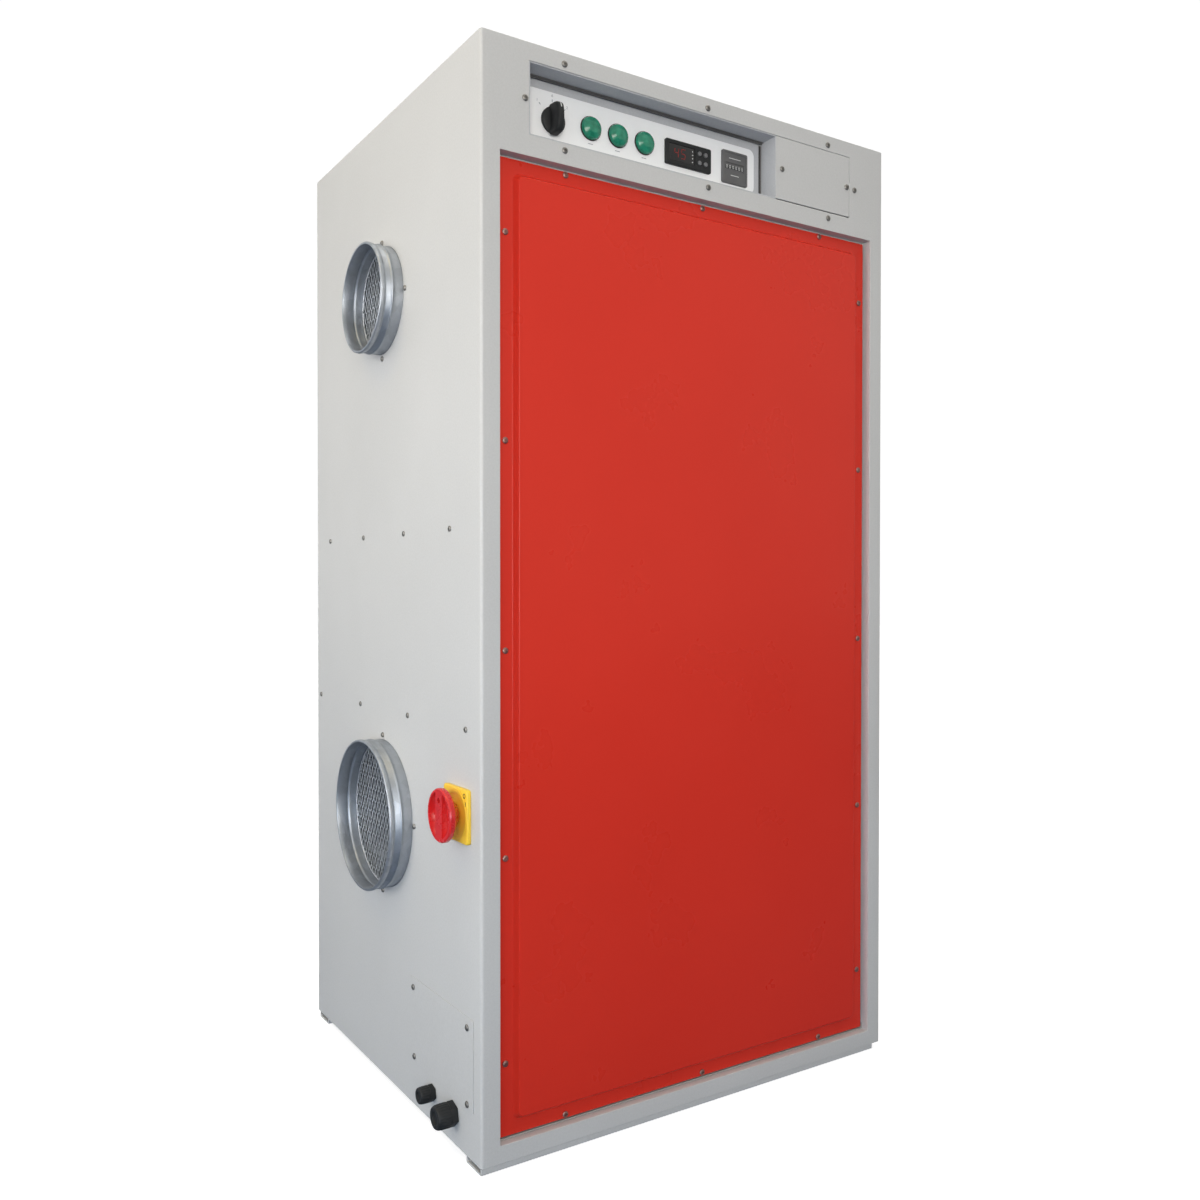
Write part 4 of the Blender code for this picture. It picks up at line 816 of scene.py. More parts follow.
sill = frame_ring(fresh(), ((-1.25, FLANGE_Y + 0.3), (-0.1, FLANGE_Y + 0.3), (-0.1, LIP_Y - 0.1), (-1.25, LIP_Y - 0.1)), OPEN_X, OPEN_Z0, OPEN_Z1)
sill = cut(sill, box(fresh(), -400, 400, FLANGE_Y - 10, LIP_Y + 10, OPEN_Z0 + 8, OPEN_Z1 + 40))
piece("sill_seal", sill, SILL, "cabinet", bevel=0.15)

# ================================================================== header
rx0, rx1 = rec_lo.x, rec_hi.x - 1.5
ry0, ry1 = rec_lo.y, rec_hi.y
rz0, rz1 = rec_lo.z, rec_hi.z
rec = box(fresh(), rx0, rx1 + 1.5, ry0, ry1, rz0, rz1)
rec = cut(rec, box(fresh(), rx0 + 1.5, rx1, ry0 - 5, PLATE_Y, rz0 + 1.5, rz1 - 1.5))
holes = fresh()
cyl(holes, (KNOB[0], 0, KNOB[1]), 6.0, PLATE_Y - 4, PLATE_Y + 6, 24, "Y")
for x, z in LAMPS:
    cyl(holes, (x, 0, z), 11.4, PLATE_Y - 4, PLATE_Y + 6, 32, "Y")
box(holes, CTRL[0] - 36, CTRL[0] + 36, PLATE_Y - 4, PLATE_Y + 6, CTRL[1] - 15, CTRL[1] + 15)
box(holes, HOUR[0] - 20.8, HOUR[0] + 20.8, PLATE_Y - 4, PLATE_Y + 6, HOUR[1] - 20.8, HOUR[1] + 20.8)
rec = cut(rec, holes)
piece("control_pan", rec, COAT_IN, "cabinet", ["control_recess"], bevel=0.35)
# stepped lip where the plate's frame meets the soffit, and its side lip; the lips are coloured near-black as painted
# shade, drawing the dark lines of shade along the soffit's back edge
lip = box(fresh(), rx0 + 1.8, rx1 - 0.3, PLATE_Y - 6.4, PLATE_Y - 5.4, rz1 - 3.2, rz1 - 1.8)
join(lip, box(fresh(), rx0 + 1.8, rx1 - 0.3, PLATE_Y - 3.6, PLATE_Y - 2.4, rz1 - 4.2, rz1 - 1.8))
join(lip, box(fresh(), rx1 - 2.6, rx1 - 0.3, PLATE_Y - 1.6, PLATE_Y - 0.3, rz0 + 1.8, rz1 - 5.4))
piece("pan_lips", lip, LIP_SHADE, "cabinet", bevel=0.3)
seal_ = box(fresh(), rx0 + 1.8, rx1 - 0.3, PLATE_Y - 1.5, PLATE_Y - 0.3, rz1 - 3.4, rz1 - 1.8)
join(seal_, box(fresh(), rx1 - 4.0, rx1 - 2.8, PLATE_Y - 1.3, PLATE_Y - 0.3, rz0 + 1.8, rz1 - 5.4))
piece("pan_seal", seal_, RUBBER, "cabinet", bevel=0.2)

ov = prism(fresh(), rounded(ov_lo.x, ov_hi.x, ov_lo.z, ov_hi.z, 9.0, 8), ov_lo.y, ov_hi.y, "Y")
holes = fresh()
cyl(holes, (KNOB[0], 0, KNOB[1]), 6.0, PLATE_Y - 4, PLATE_Y + 2, 24, "Y")
for x, z in LAMPS:
    cyl(holes, (x, 0, z), 11.4, PLATE_Y - 4, PLATE_Y + 2, 32, "Y")
box(holes, CTRL[0] - 36, CTRL[0] + 36, PLATE_Y - 4, PLATE_Y + 2, CTRL[1] - 15, CTRL[1] + 15)
box(holes, HOUR[0] - 20.8, HOUR[0] + 20.8, PLATE_Y - 4, PLATE_Y + 2, HOUR[1] - 20.8, HOUR[1] + 20.8)
ov = cut(ov, holes)
piece("overlay_plate", ov, WHITE, "cabinet", ["control_overlay"], bevel=0.25)

# printed scale around the selector; the dark bars under the lamps are painted shade, standing in for the shadow under
# each lamp
pr = fresh()
PY0, PY1 = FACE_Y - 0.12, FACE_Y + 0.05


def bar(bm, x, z, w, h, turn=0.0):
    b = box(fresh(), -w / 2, w / 2, PY0, PY1, -h / 2, h / 2)
    moved(b, Matrix.Translation((x, 0, z)) @ Matrix.Rotation(turn, 4, "Y"))
    return join(bm, b)


for deg in (-45, 0, 45):
    a = math.radians(deg)
    bar(pr, KNOB[0] + 24.5 * math.sin(a), KNOB[1] + 24.5 * math.cos(a), 0.9, 3.0, a)
for deg, digit in ((-45, "1"), (0, "0"), (45, "2")):
    a = math.radians(deg)
    place = (Matrix.Translation((KNOB[0] + (29.5 if deg else 31.0) * math.sin(a), FACE_Y - 0.03, KNOB[1] + (29.5 if deg else 30.2) * math.cos(a))) @
             Matrix.Rotation(math.pi / 2, 4, "X"))
    join(pr, text_bm(digit, 4.6, 0.07, place))
# painted shade: a dark bar just under each lamp, where the lamp's shadow falls
for x, z in LAMPS:
    bar(pr, x, z - 18.6, 7.0, 0.8)
piece("printed_marks_and_lamp_shade", pr, PRINT_AND_SHADE, "cabinet")

# selector knob: base disc with a rounded edge, wing with drafted flanks, pointer line
base = lathe(fresh(), [(0, FACE_Y - 0.3)] + [(p[0], p[1]) for p in fillet(
    [(15.4, FACE_Y - 0.3), (16.0, FACE_Y - 0.9), (16.0, FACE_Y - 4.2), (13.4, FACE_Y - 5.8)], 0.7, 4)] + [(0, FACE_Y - 5.8)], 64,
             (KNOB[0], 0, KNOB[1]), "Y")
loops = []
for k in range(13):
    u = -1 + 2 * k / 12                         # across the wing's thickness
    edge = (1 - abs(u) ** 5) ** 0.5 if abs(u) < 1 else 0.0
    grow = 0.86 + 0.14 * edge
    loops.append([(KNOB[0] + 6.1 * u, FACE_Y - 3.6 - (19.6 * math.sin(math.pi * i / 28) ** 0.34) * grow,
                   KNOB[1] + 18.2 * grow * math.cos(math.pi * i / 28)) for i in range(29)])
for lp in loops:                                # the flanks lean in towards the tip
    for i, (x, y, z) in enumerate(lp):
        d = (FACE_Y - 3.6 - y) / 19.6
        lp[i] = (KNOB[0] + (x - KNOB[0]) * (1.0 - 0.30 * d), y, z)
wing = loft(fresh(), loops)
shaft = cyl(fresh(), (KNOB[0], 0, KNOB[1]), 4.5, FACE_Y - 2.0, PLATE_Y + 24, 24, "Y", 0.4)
knob = union(base, wing, shaft)
piece("selector_knob_fine", knob, BLACK, "selector", ["selector_knob"], smooth=40)
loops = []
for sx in (-0.65, 0.65):
    loops.append([(KNOB[0] + sx, FACE_Y - 3.6 - (19.6 * math.sin(math.pi * i / 28) ** 0.34) - o, KNOB[1] + 18.2 * math.cos(math.pi * i / 28))
                  for i, o in [(i, -0.8) for i in range(5, 10)] + [(i, 0.12) for i in range(9, 4, -1)]])
line = loft(fresh(), loops)
piece("selector_pointer", line, PRINT_L, "selector")

# pilot lamps: rim, faceted lens, plain round body behind
for k, (x, z) in enumerate(LAMPS):
    y = FACE_Y - 0.3
    rim = lathe(fresh(), fillet([(14.2, y), (14.8, y), (14.8, y - 1.5), (14.2, y - 2.0)], [0, 0.2, 0.4, 0], 4) + [(14.2, y - 1.0)], 56, (x, 0, z), "Y")
    join(rim, lathe(fresh(), fillet([(0, y + 0.2), (10.8, y + 0.2), (10.8, y + 30), (0, y + 30)], [0, 0, 0.8, 0], 3), 32, (x, 0, z), "Y"))
    piece("lamp_rim_%d" % (k + 1), rim, BLACK, "cabinet")
    n = 12
    lens_bm = fresh()
    rows = [(14.0, y - 0.4, 0.0, 24), (14.0, y - 2.6, 0.0, 24), (12.7, y - 5.2, 0.0, 24)]
    rings = []
    for r, yy, ph, cnt in rows:
        rings.append([lens_bm.verts.new((x + r * math.cos(2 * math.pi * i / cnt), yy, z + r * math.sin(2 * math.pi * i / cnt))) for i in range(cnt)])
    for a, b in zip(rings, rings[1:]):
        for i in range(24):
            j = (i + 1) % 24
            lens_bm.faces.new((a[i], a[j], b[j], b[i]))
    star = [lens_bm.verts.new((x + 7.2 * math.cos(2 * math.pi * (i + 0.5) / n), y - 8.0, z + 7.2 * math.sin(2 * math.pi * (i + 0.5) / n))) for i in range(n)]
    tip = lens_bm.verts.new((x, y - 9.0, z))
    for i in range(n):
        a0, a1, a2 = rings[2][2 * i], rings[2][2 * i + 1], rings[2][(2 * i + 2) % 24]
        lens_bm.faces.new((a0, a1, star[i]))
        lens_bm.faces.new((a1, a2, star[i]))
        lens_bm.faces.new((a2, star[(i + 1) % n], star[i]))
        lens_bm.faces.new((star[i], star[(i + 1) % n], tip))
    lens_bm.faces.new(rings[0][::-1])
    piece("lamp_lens_%d" % (k + 1), lens_bm, GREEN, "cabinet", ["pilot_lamp_%d" % (k + 1)], smooth=8, bevel=0.25, limit=12)

# digital controller
cx, cz, cw, ch = CTRL
cy = FACE_Y - 0.3
bez = slab(fresh(), rounded(cx - cw / 2, cx + cw / 2, cz - ch / 2, cz + ch / 2, 2.2, 5), cy, cy - 4.0, "Y", 0.0, 1.1, 4)
bez = cut(bez, prism(fresh(), rounded(cx - 32, cx + 10, cz - 11, cz + 11, 1.2, 4), cy - 6, cy - 2.9, "Y"))
holes = fresh()
KEYS = {}
for n_ in ("key_set", "key_up", "key_power", "key_down"):
    lo, hi = nb(n_)
    KEYS[n_] = ((lo.x + hi.x) / 2, (lo.z + hi.z) / 2, lo.y, hi.y)
    cyl(holes, (KEYS[n_][0], 0, KEYS[n_][1]), 3.35, cy - 8, cy - 0.8, 28, "Y")
bez = cut(bez, holes)
join(bez, box(fresh(), cx - 35.4, cx + 35.4, cy + 0.1, cy + 55, cz - 14.4, cz + 14.4))
piece("controller_case", bez, BLACK, "cabinet", ["controller_body"], smooth=40)
glass = slab(fresh(), rounded(cx - 31.7, cx + 9.7, cz - 10.7, cz + 10.7, 1.0, 4), cy - 2.8, cy - 3.4, "Y", 0.0, 0.25, 2)
piece("controller_window", glass, BLACK_G, "cabinet")
SEGS = {"4": "bcfg", "5": "acdfg"}


def digit(bm, ch_, x, z, w, h, t, y0, y1):
    """Seven-segment numeral as small bars."""
    lean = 0.10
    hw, hh = w / 2, h / 2
    spots = {"a": (0, hh, w - t, t), "g": (0, 0, w - t, t), "d": (0, -hh, w - t, t), "f": (-hw, hh / 2, t, hh - t), "b": (hw, hh / 2, t, hh - t),
             "e": (-hw, -hh / 2, t, hh - t), "c": (hw, -hh / 2, t, hh - t)}
    for s in SEGS[ch_]:
        sx, sz, sw, sh = spots[s]
        pts = [(x + sx + dx + (sz + dz) * lean, z + sz + dz) for dx, dz in ((-sw / 2, -sh / 2), (sw / 2, -sh / 2), (sw / 2, sh / 2), (-sw / 2, sh / 2))]
        prism(bm, pts, y0, y1, "Y")
    return bm


dg = digit(fresh(), "4", cx - 20.0, cz, 6.4, 12.0, 1.2, cy - 3.52, cy - 3.38)
digit(dg, "5", cx - 9.0, cz, 6.4, 12.0, 1.2, cy - 3.52, cy - 3.38)
piece("controller_digits", dg, DIGIT, "cabinet")
dots = fresh()
for i, (dx, dz) in enumerate(((1.5, 6.5), (1.5, 2.0), (1.5, -2.5), (1.5, -7.0))):
    cyl(dots, (cx + dx + 4.5, 0, cz + dz), 0.8, cy - 3.5, cy - 3.38, 14, "Y")
piece("controller_dots", dots, PRINT_L, "cabinet")
for n_, (kx, kz, y0, y1) in KEYS.items():
    prof = [(0, y0)] + fillet([(2.1, y0), (2.9, y0 + 0.35), (2.9, y1), (0.0, y1)], [0.8, 0.35, 0.4, 0], 4)
    key = lathe(fresh(), prof, 32, (kx, 0, kz), "Y")
    body_of = {"key_set": "set_key", "key_up": "up_key", "key_power": "power_key", "key_down": "down_key"}[n_]
    piece("cap_" + n_, key, KEYPL, body_of, [n_])

# square hours counter: rounded bezel, stepped window and number wheels
hx_, hz_, hs_ = HOUR
hb = slab(fresh(), rounded(hx_ - hs_ / 2, hx_ + hs_ / 2, hz_ - hs_ / 2, hz_ + hs_ / 2, 2.5, 5), cy, cy - 3.0, "Y", 0.0, 0.9, 4)
hb = cut(hb, prism(fresh(), rounded(hx_ - 18.6, hx_ + 18.6, hz_ - 18.6, hz_ + 18.6, 1.5, 4), cy - 5, cy - 2.3, "Y"))
hb = cut(hb, prism(fresh(), rounded(hx_ - 16.0, hx_ + 16.0, hz_ - 5.0, hz_ + 6.0, 0.8, 4), cy - 5, cy - 1.2, "Y"))
join(hb, box(fresh(), hx_ - 20.4, hx_ + 20.4, cy + 0.1, cy + 36, hz_ - 20.4, hz_ + 20.4))
piece("counter_case", hb, GREYPL, "cabinet", ["hour_counter"], smooth=40, bevel=0.2)
wheels = fresh()
for i in range(6):
    wx = hx_ - 13.1 + 5.25 * i
    cyl_w = lathe(fresh(), fillet([(0, -2.25), (6.2, -2.25), (6.2, 2.25), (0, 2.25)], [0, 0.3, 0.3, 0], 2), 40)
    moved(cyl_w, Matrix.Translation((wx, cy + 4.55, hz_ + 0.5)) @ Matrix.Rotation(math.pi / 2, 4, "Y"))
    join(wheels, cyl_w)
piece("counter_wheels", wheels, BLACK, "cabinet")
num = fresh()
for i, c in enumerate("000000"):
    wx = hx_ - 13.1 + 5.25 * i
    join(num, text_bm(c, 6.6, 0.06, Matrix.Translation((wx, cy - 1.70, hz_ + 0.5)) @ Matrix.Rotation(math.pi / 2, 4, "X")))
piece("counter_digits", num, PRINT_L, "cabinet")
mk = fresh()
for dz, w in ((12.0, 20.0), (-10.5, 14.0)):
    box(mk, hx_ - w / 2, hx_ + w / 2, cy - 2.42, cy - 2.28, hz_ + dz - 0.5, hz_ + dz + 0.5)
piece("counter_marks", mk, PRINT_L, "cabinet")

# blank cover and the header screws
cov = prism(fresh(), rounded(cov_lo.x, cov_hi.x, cov_lo.z, cov_hi.z, 1.0, 4), cov_lo.y, cov_hi.y, "Y")
tape = box(fresh(), cov_lo.x + 1.0, HEAD_X1 + 4, FRONT + T + 0.02, FRONT + T + 0.25, HEAD_Z0 - 4, HEAD_Z0 + 6)
join(tape, box(fresh(), cov_lo.x + 1.0, HEAD_X1 + 4, FRONT + T + 0.02, FRONT + T + 0.25, HEAD_Z1 - 6, HEAD_Z1 + 4))
join(tape, box(fresh(), HEAD_X1 - 3.5, HEAD_X1 + 4, FRONT + T + 0.02, FRONT + T + 0.25, HEAD_Z0 + 6.1, HEAD_Z1 - 6.1))
piece("cover_seal", tape, RUBBER, "cabinet")
piece("blank_cover_plate", cov, COAT, "cabinet", ["header_blank_cover"], bevel=0.4, seg=3)
piece("header_screw_heads", screws(PAN, [(x, FRONT, z) for x, z in HEADER_SCREWS] + [(x, cov_lo.y, z) for x, z in COVER_SCREWS], "-Y", 13),
      SCREW, "cabinet", ["header_screws"])
e_lo, e_hi = nb("electrical_box")
eb = box(fresh(), e_lo.x, e_hi.x, e_lo.y, e_hi.y, e_lo.z, e_hi.z)
eb = cut(eb, box(fresh(), e_lo.x + 1.5, e_hi.x - 1.5, e_lo.y - 5, e_hi.y - 1.5, e_lo.z + 1.5, e_hi.z - 1.5))
piece("electrical_box_fine", eb, ZINC_IN, "cabinet", ["electrical_box"], bevel=0.5)
q_lo, q_hi = nb("contactor_row")
cr = box(fresh(), q_lo.x, q_hi.x, q_hi.y - 10, q_hi.y, q_lo.z + 24, q_hi.z - 22)
for i in range(4):
    x = q_lo.x + 4 + 26 * i
    join(cr, slab(fresh(), rounded(x, x + 22, q_lo.z, q_hi.z, 1.5, 3), q_hi.y - 10.2, q_lo.y, "Y", 0.0, 1.5, 3))
    for dz in (12.0, 66.0):
        for dx in (5.5, 16.5):
            join(cr, cyl(fresh(), (x + dx, 0, q_lo.z + dz), 2.6, q_lo.y - 0.6, q_lo.y + 0.6, 18, "Y", 0.3))
piece("contactors_fine", cr, GREYPL, "cabinet", ["contactor_row"], bevel=0.3)

# ================================================================== duct spigots and their mesh
for key, (s, py, pz, r) in PORTS.items():
    wall = s * HX
    end = s * (HX + 31.0)
    ri = r - 1.6
    prof = [(ri, end - s * 0.8), (ri + 0.4, end - s * 0.1), (r - 0.2, end), (r + 1.2, end - s * 0.3), (r + 1.8, end - s * 1.3),
            (r + 1.8, end - s * 4.6), (r + 1.5, end - s * 5.6), (r + 0.4, end - s * 6.2), (r - 0.6, end - s * 6.8), (r - 0.9, end - s * 8.0),
            (r - 0.6, end - s * 9.2), (r + 0.1, end - s * 9.8)]
    for k in range(9):                          # swaged bead half-way along
        t = math.pi * k / 8
        prof.append((r + 0.1 + 1.5 * math.sin(t), end - s * (14.5 + 4.2 * k / 8)))
    prof += [(r + 0.1, end - s * 22.0), (r + 0.1, wall + s * 0.2), (r + 0.3, wall - s * 2.3), (r + 12.0, wall - s * 2.3), (r + 12.0, wall - s * 3.8),
             (ri + 0.4, wall - s * 3.8), (ri, wall - s * 3.2), (ri, end - s * 20.0)]
    for k in range(7):
        t = math.pi * k / 6
        prof.append((ri + 1.1 * math.sin(t), end - s * (18.2 - 3.4 * k / 6)))
    prof += [(ri, end - s * 9.0)]
    bm = lathe(fresh(), prof, 112, (0, py, pz), "X")
    piece("spigot_" + key + "_tube", bm, ZINC, "cabinet", ["spigot_" + key], smooth=50)
    k_ = r + 6.8
    piece("spigot_" + key + "_screws", screws(PAN_S, [(wall, py + k_, pz), (wall, py, pz + k_), (wall, py - k_, pz), (wall, py, pz - k_)],
                                              "-X" if s < 0 else "+X", 20 + len(key)), SCREW, "cabinet")
    # guard: a rolled ring and an expanded diamond mesh, strands passing over and under each other
    rg = ri - 0.4
    xm = wall + s * 1.8
    g = lathe(fresh(), [(rg - 1.3 + 1.25 * math.cos(2 * math.pi * k / 10), xm + 0.78 * math.sin(2 * math.pi * k / 10)) for k in range(10)], 96, (0, py, pz), "X")
    pitch = 8.2
    lean = math.radians(58)
    dirs = ((math.cos(lean), math.sin(lean)), (math.cos(lean), -math.sin(lean)))
    rad = rg - 1.6
    cnt = int(rad / pitch)
    for f, (dy, dz) in enumerate(dirs):
        ny, nz = -dz, dy
        for i in range(-cnt, cnt + 1):
            o = i * pitch
            half = math.sqrt(max(0.0, rad * rad - o * o))
            if half < 4:
                continue
            steps = max(2, int(2 * half / (pitch * 0.5)))
            rows = []
            for k in range(steps + 1):
                u = -half + 2 * half * k / steps
                y, z = u * dy + o * ny, u * dz + o * nz
                other = dirs[1 - f]
                ph = (y * -other[1] + z * other[0]) / pitch
                x = xm + 0.42 * math.cos(math.pi * (ph + (i if f else i + 1)))
                rows.append([(x - 0.34, py + y + 0.85 * ny, pz + z + 0.85 * nz), (x - 0.34, py + y - 0.85 * ny, pz + z - 0.85 * nz),
                             (x + 0.34, py + y - 0.85 * ny, pz + z - 0.85 * nz), (x + 0.34, py + y + 0.85 * ny, pz + z + 0.85 * nz)])
            loft(g, rows)
    piece("guard_" + key + "_mesh", g, MESH, "cabinet", ["guard_" + key], smooth=60)

# ================================================================== isolator
iy, iz = ISO
px0 = -HX - 0.3
pl = slab(fresh(), rounded(iy - 32.0, iy + 32.0, iz - 32.0, iz + 32.0, 4.5, 6), px0, px0 - 5.0, "X", 0.0, 1.4, 4)
ring = lathe(fresh(), fillet([(24.0, px0 - 4.8), (30.6, px0 - 4.8), (30.0, px0 - 5.6), (24.6, px0 - 5.6)], 0.2, 2, True), 64, (0, iy, iz), "X")
pl = cut(pl, cyl(fresh(), (0, iy, iz), 6.0, px0 - 12, px0 + 12, 32, "X"))
join(pl, cyl(fresh(), (0, iy, iz), 16.8, px0 + 0.4, px0 + 7.6, 40, "X", 0.4))
join(pl, box(fresh(), px0 + 8.0, px0 + 62, iy - 30, iy + 30, iz - 30, iz + 30))
join(pl, ring)
piece("isolator_plate", pl, YELLOW, "cabinet", ["isolator_base"], smooth=40, bevel=0.25)
mk = fresh()
xo = px0 - 5.05
box(mk, xo - 0.09, xo + 0.09, iy - 28.2, iy - 26.9, iz + 12.6, iz + 17.8)     # on mark
join(mk, lathe(fresh(), ((1.9, xo - 0.09), (3.0, xo - 0.09), (3.0, xo + 0.09), (1.9, xo + 0.09)), 28, (0, iy - 24.5, iz + 24.5), "X"))    # off mark
piece("isolator_marks", mk, BLACK, "cabinet")
hx0 = px0 - 5.8
tip = hx0 - ih_lo.x                                            # height of the knob over the plate
prof = [(0, hx0)] + fillet([(13.2, hx0), (14.4, hx0 - 1.2), (30.8, hx0 - 12.6), (31.8, hx0 - 14.0), (31.8, hx0 - tip + 1.6), (30.4, hx0 - tip)], [0.4, 1.0, 1.6, 1.6, 1.4, 1.6], 6) + [(0, hx0 - tip)]
hd = lathe(fresh(), prof, 96, (0, iy, iz), "X")
moons = []
for sgn in (-1, 1):                                            # half-moon pockets either side of the grip bar
    arc = [(iy + sgn * 27.6 * math.cos(math.radians(-72 + 6 * k)), iz + 27.6 * math.sin(math.radians(-72 + 6 * k))) for k in range(25)]
    arc = fillet(arc, [3.2] + [0] * 23 + [3.2], 5, True)
    cyx, czx = iy + sgn * 17.0, iz
    loops = []
    for k in range(8):                                         # the pocket's floor is dished
        d = k / 7
        sc = 1.0 - 0.16 * (1 - d) ** 2
        loops.append([(hx0 - 13.4 - (tip - 12.4) * d, cyx + (y - cyx) * sc, czx + (z - czx) * sc) for y, z in arc])
    moons.append(loft(fresh(), loops))
spin = cyl(fresh(), (0, iy, iz), 5.0, hx0 - 3, hx0 + 28, 32, "X", 0.4)
hd = cut(hd, *moons)
hd = union(hd, spin)
hd = cut(hd, cyl(fresh(), (0, iy, iz + 17.4), 3.3, hx0 - tip - 4, hx0 + 3.0, 32, "X"))
piece("isolator_knob", hd, REDPL, "isolator", ["isolator_handle"], smooth=42, bevel=0.7, seg=3, limit=42)

# ================================================================== terminal cover, block and glands
tc_lo, tc_hi = nb("terminal_cover")
tc = prism(fresh(), rounded(tc_lo.y, tc_hi.y, tc_lo.z, tc_hi.z, 2.0, 5), tc_lo.x + 0.3, -HX - 0.03, "X")
piece("terminal_cover_plate", tc, COAT, "cabinet", ["terminal_cover"], bevel=0.8, seg=4)
piece("terminal_screw_heads", screws(PAN, [(tc_lo.x, y, z) for y, z in TERM_SCREWS], "-X", 31), SCREW, "cabinet", ["terminal_screws"])
tb_lo, tb_hi = nb("terminal_block")
tb = fresh()
for i in range(7):
    y = tb_lo.y + 1.2 + 16.2 * i
    u = slab(fresh(), rounded(y, y + 15.0, tb_lo.z, tb_hi.z, 1.2, 3), tb_hi.x, tb_lo.x + 8.0, "X", 0.0, 1.0, 2)
    for dz in (9.0, 29.0):
        u = cut(u, cyl(fresh(), (0, y + 7.5, tb_lo.z + dz), 3.2, tb_lo.x, tb_lo.x + 14.0, 20, "X"))
    join(tb, u)
join(tb, box(fresh(), tb_lo.x + 20, tb_hi.x - 2, tb_lo.y, tb_hi.y, tb_lo.z + 14, tb_lo.z + 24))
piece("terminal_block_fine", tb, GREYPL, "cabinet", ["terminal_block"], bevel=0.2)
for key, ribs in (("small", 20), ("large", 26)):
    lo, hi = nb("cable_gland_" + key)
    gy, gz, gr = (lo.y + hi.y) / 2, (lo.z + hi.z) / 2, (hi.z - lo.z) / 2
    x0 = -HX - 0.3
    L = x0 - lo.x
    hexr = gr * 0.99
    hexo = [(gy + hexr * math.cos(math.pi / 3 * i + 0.3), gz + hexr * math.sin(math.pi / 3 * i + 0.3)) for i in range(6)]
    g = slab(fresh(), fillet(hexo, 0.8, 2, True), x0, x0 - L * 0.30, "X", 0.4, 0.7, 3, (gy, gz))
    # dome nut with fine ribs, drawn in to a round seal mouth
    nseg = ribs * 4
    rows = []
    rib_profile = ((0.30, 0.90, 0.0), (0.33, 0.955, 0.6), (0.45, 0.965, 1.0), (0.70, 0.96, 1.0), (0.86, 0.93, 0.9), (0.95, 0.87, 0.4), (0.985, 0.81, 0.0), (1.0, 0.70, 0.0))
    for f, rr, dep in rib_profile:
        ring_ = []
        for i in range(nseg):
            a = 2 * math.pi * i / nseg
            saw = 0.5 - 0.5 * math.cos(ribs * a)
            q = gr * rr - dep * 0.55 * saw
            ring_.append((x0 - L * f, gy + q * math.cos(a), gz + q * math.sin(a)))
        rows.append(ring_)
    rows.append([(x0 - L * 0.97, gy + gr * 0.52 * math.cos(2 * math.pi * i / nseg), gz + gr * 0.52 * math.sin(2 * math.pi * i / nseg)) for i in range(nseg)])
    rows.append([(x0 - L * 0.90, gy + gr * 0.47 * math.cos(2 * math.pi * i / nseg), gz + gr * 0.47 * math.sin(2 * math.pi * i / nseg)) for i in range(nseg)])
    join(g, loft(fresh(), rows))
    join(g, cyl(fresh(), (0, gy, gz), gr * 0.60, x0 + 0.1, x0 + 8, 32, "X", 0.4))
    piece("gland_" + key + "_body", g, BLACK, "cabinet", ["cable_gland_" + key], smooth=35)


# ================================================================== decks, rotor and its drive
m_lo, m_hi = nb("rotor_matrix")
f_lo, f_hi = nb("rotor_frame")
RC = ((m_lo.x + m_hi.x) / 2, (m_lo.y + m_hi.y) / 2)
RR = (f_hi.x - f_lo.x) / 2


def ring_pt(r, deg):
    return (RC[0] + r * math.cos(math.radians(deg)), RC[1] + r * math.sin(math.radians(deg)))


def sector(r0, r1, a0, a1, n):
    return ([ring_pt(r1, a0 + (a1 - a0) * i / n) for i in range(n + 1)] +
            [ring_pt(r0, a0 + (a1 - a0) * i / n) for i in range(n, -1, -1)])


PAN_D = screw_mesh(3.6, 2.0, 6.0)
DK = HX - T - 0.3
for name, s in (("deck_lower", -1), ("deck_upper", 1)):
    lo, hi = nb(name)
    face = hi.z if s < 0 else lo.z
    e = face + s * 22.0
    prof = fillet([(-DK, e), (-DK, face), (DK, face), (DK, e), (DK - T, e), (DK - T, face + s * T), (-DK + T, face + s * T), (-DK + T, e)],
                  [0, 3.0, 3.0, 0, 0, 1.0, 1.0, 0], 5, True)
    bm = prism(fresh(), prof, lo.y, hi.y, "Y")
    za, zb = face - 8, face + 8
    bm = cut(bm, prism(fresh(), sector(40, 222, 50, 310, 72), za, zb), prism(fresh(), sector(40, 222, -43, 43, 32), za, zb),
             cyl(fresh(), (*RC, 0), 11.0, za, zb, 48))
    piece(name + "_sheet", bm, ZINC_IN, "cabinet", [name], bevel=0.25)
    ys, zs = DECK_SCREWS[name]
    piece(name + "_screws", join(screws(PAN_D, [(-HX, y, zs) for y in ys], "-X", 41), screws(PAN_D, [(HX, y, zs) for y in ys], "+X", 42)),
          SCREW, "cabinet")

bl_lo, bl_hi = nb("drive_belt")
z0, z1 = m_lo.z - 4.8, m_hi.z + 4.8
rim = lathe(fresh(), [(RR - 3, z0), (RR - 0.4, z0), (RR, z0 + 0.6), (RR, z0 + 5), (RR - 0.8, z0 + 6.5), (RR - 0.8, bl_lo.z - 8), (RR, bl_lo.z - 6),
                      (RR, bl_hi.z + 6), (RR - 0.8, bl_hi.z + 8), (RR - 0.8, z1 - 6.5), (RR, z1 - 5), (RR, z1 - 0.6), (RR - 0.4, z1), (RR - 3, z1)],
            144, (*RC, 0))
hub = lathe(fresh(), [(0, f_lo.z), (8.5, f_lo.z), (9.5, f_lo.z + 1), (9.5, z0), (29, z0), (30, z0 + 1), (30, z1 - 1), (29, z1), (9.5, z1),
                      (9.5, f_hi.z - 1), (8.5, f_hi.z), (0, f_hi.z)], 64, (*RC, 0))
spokes = []
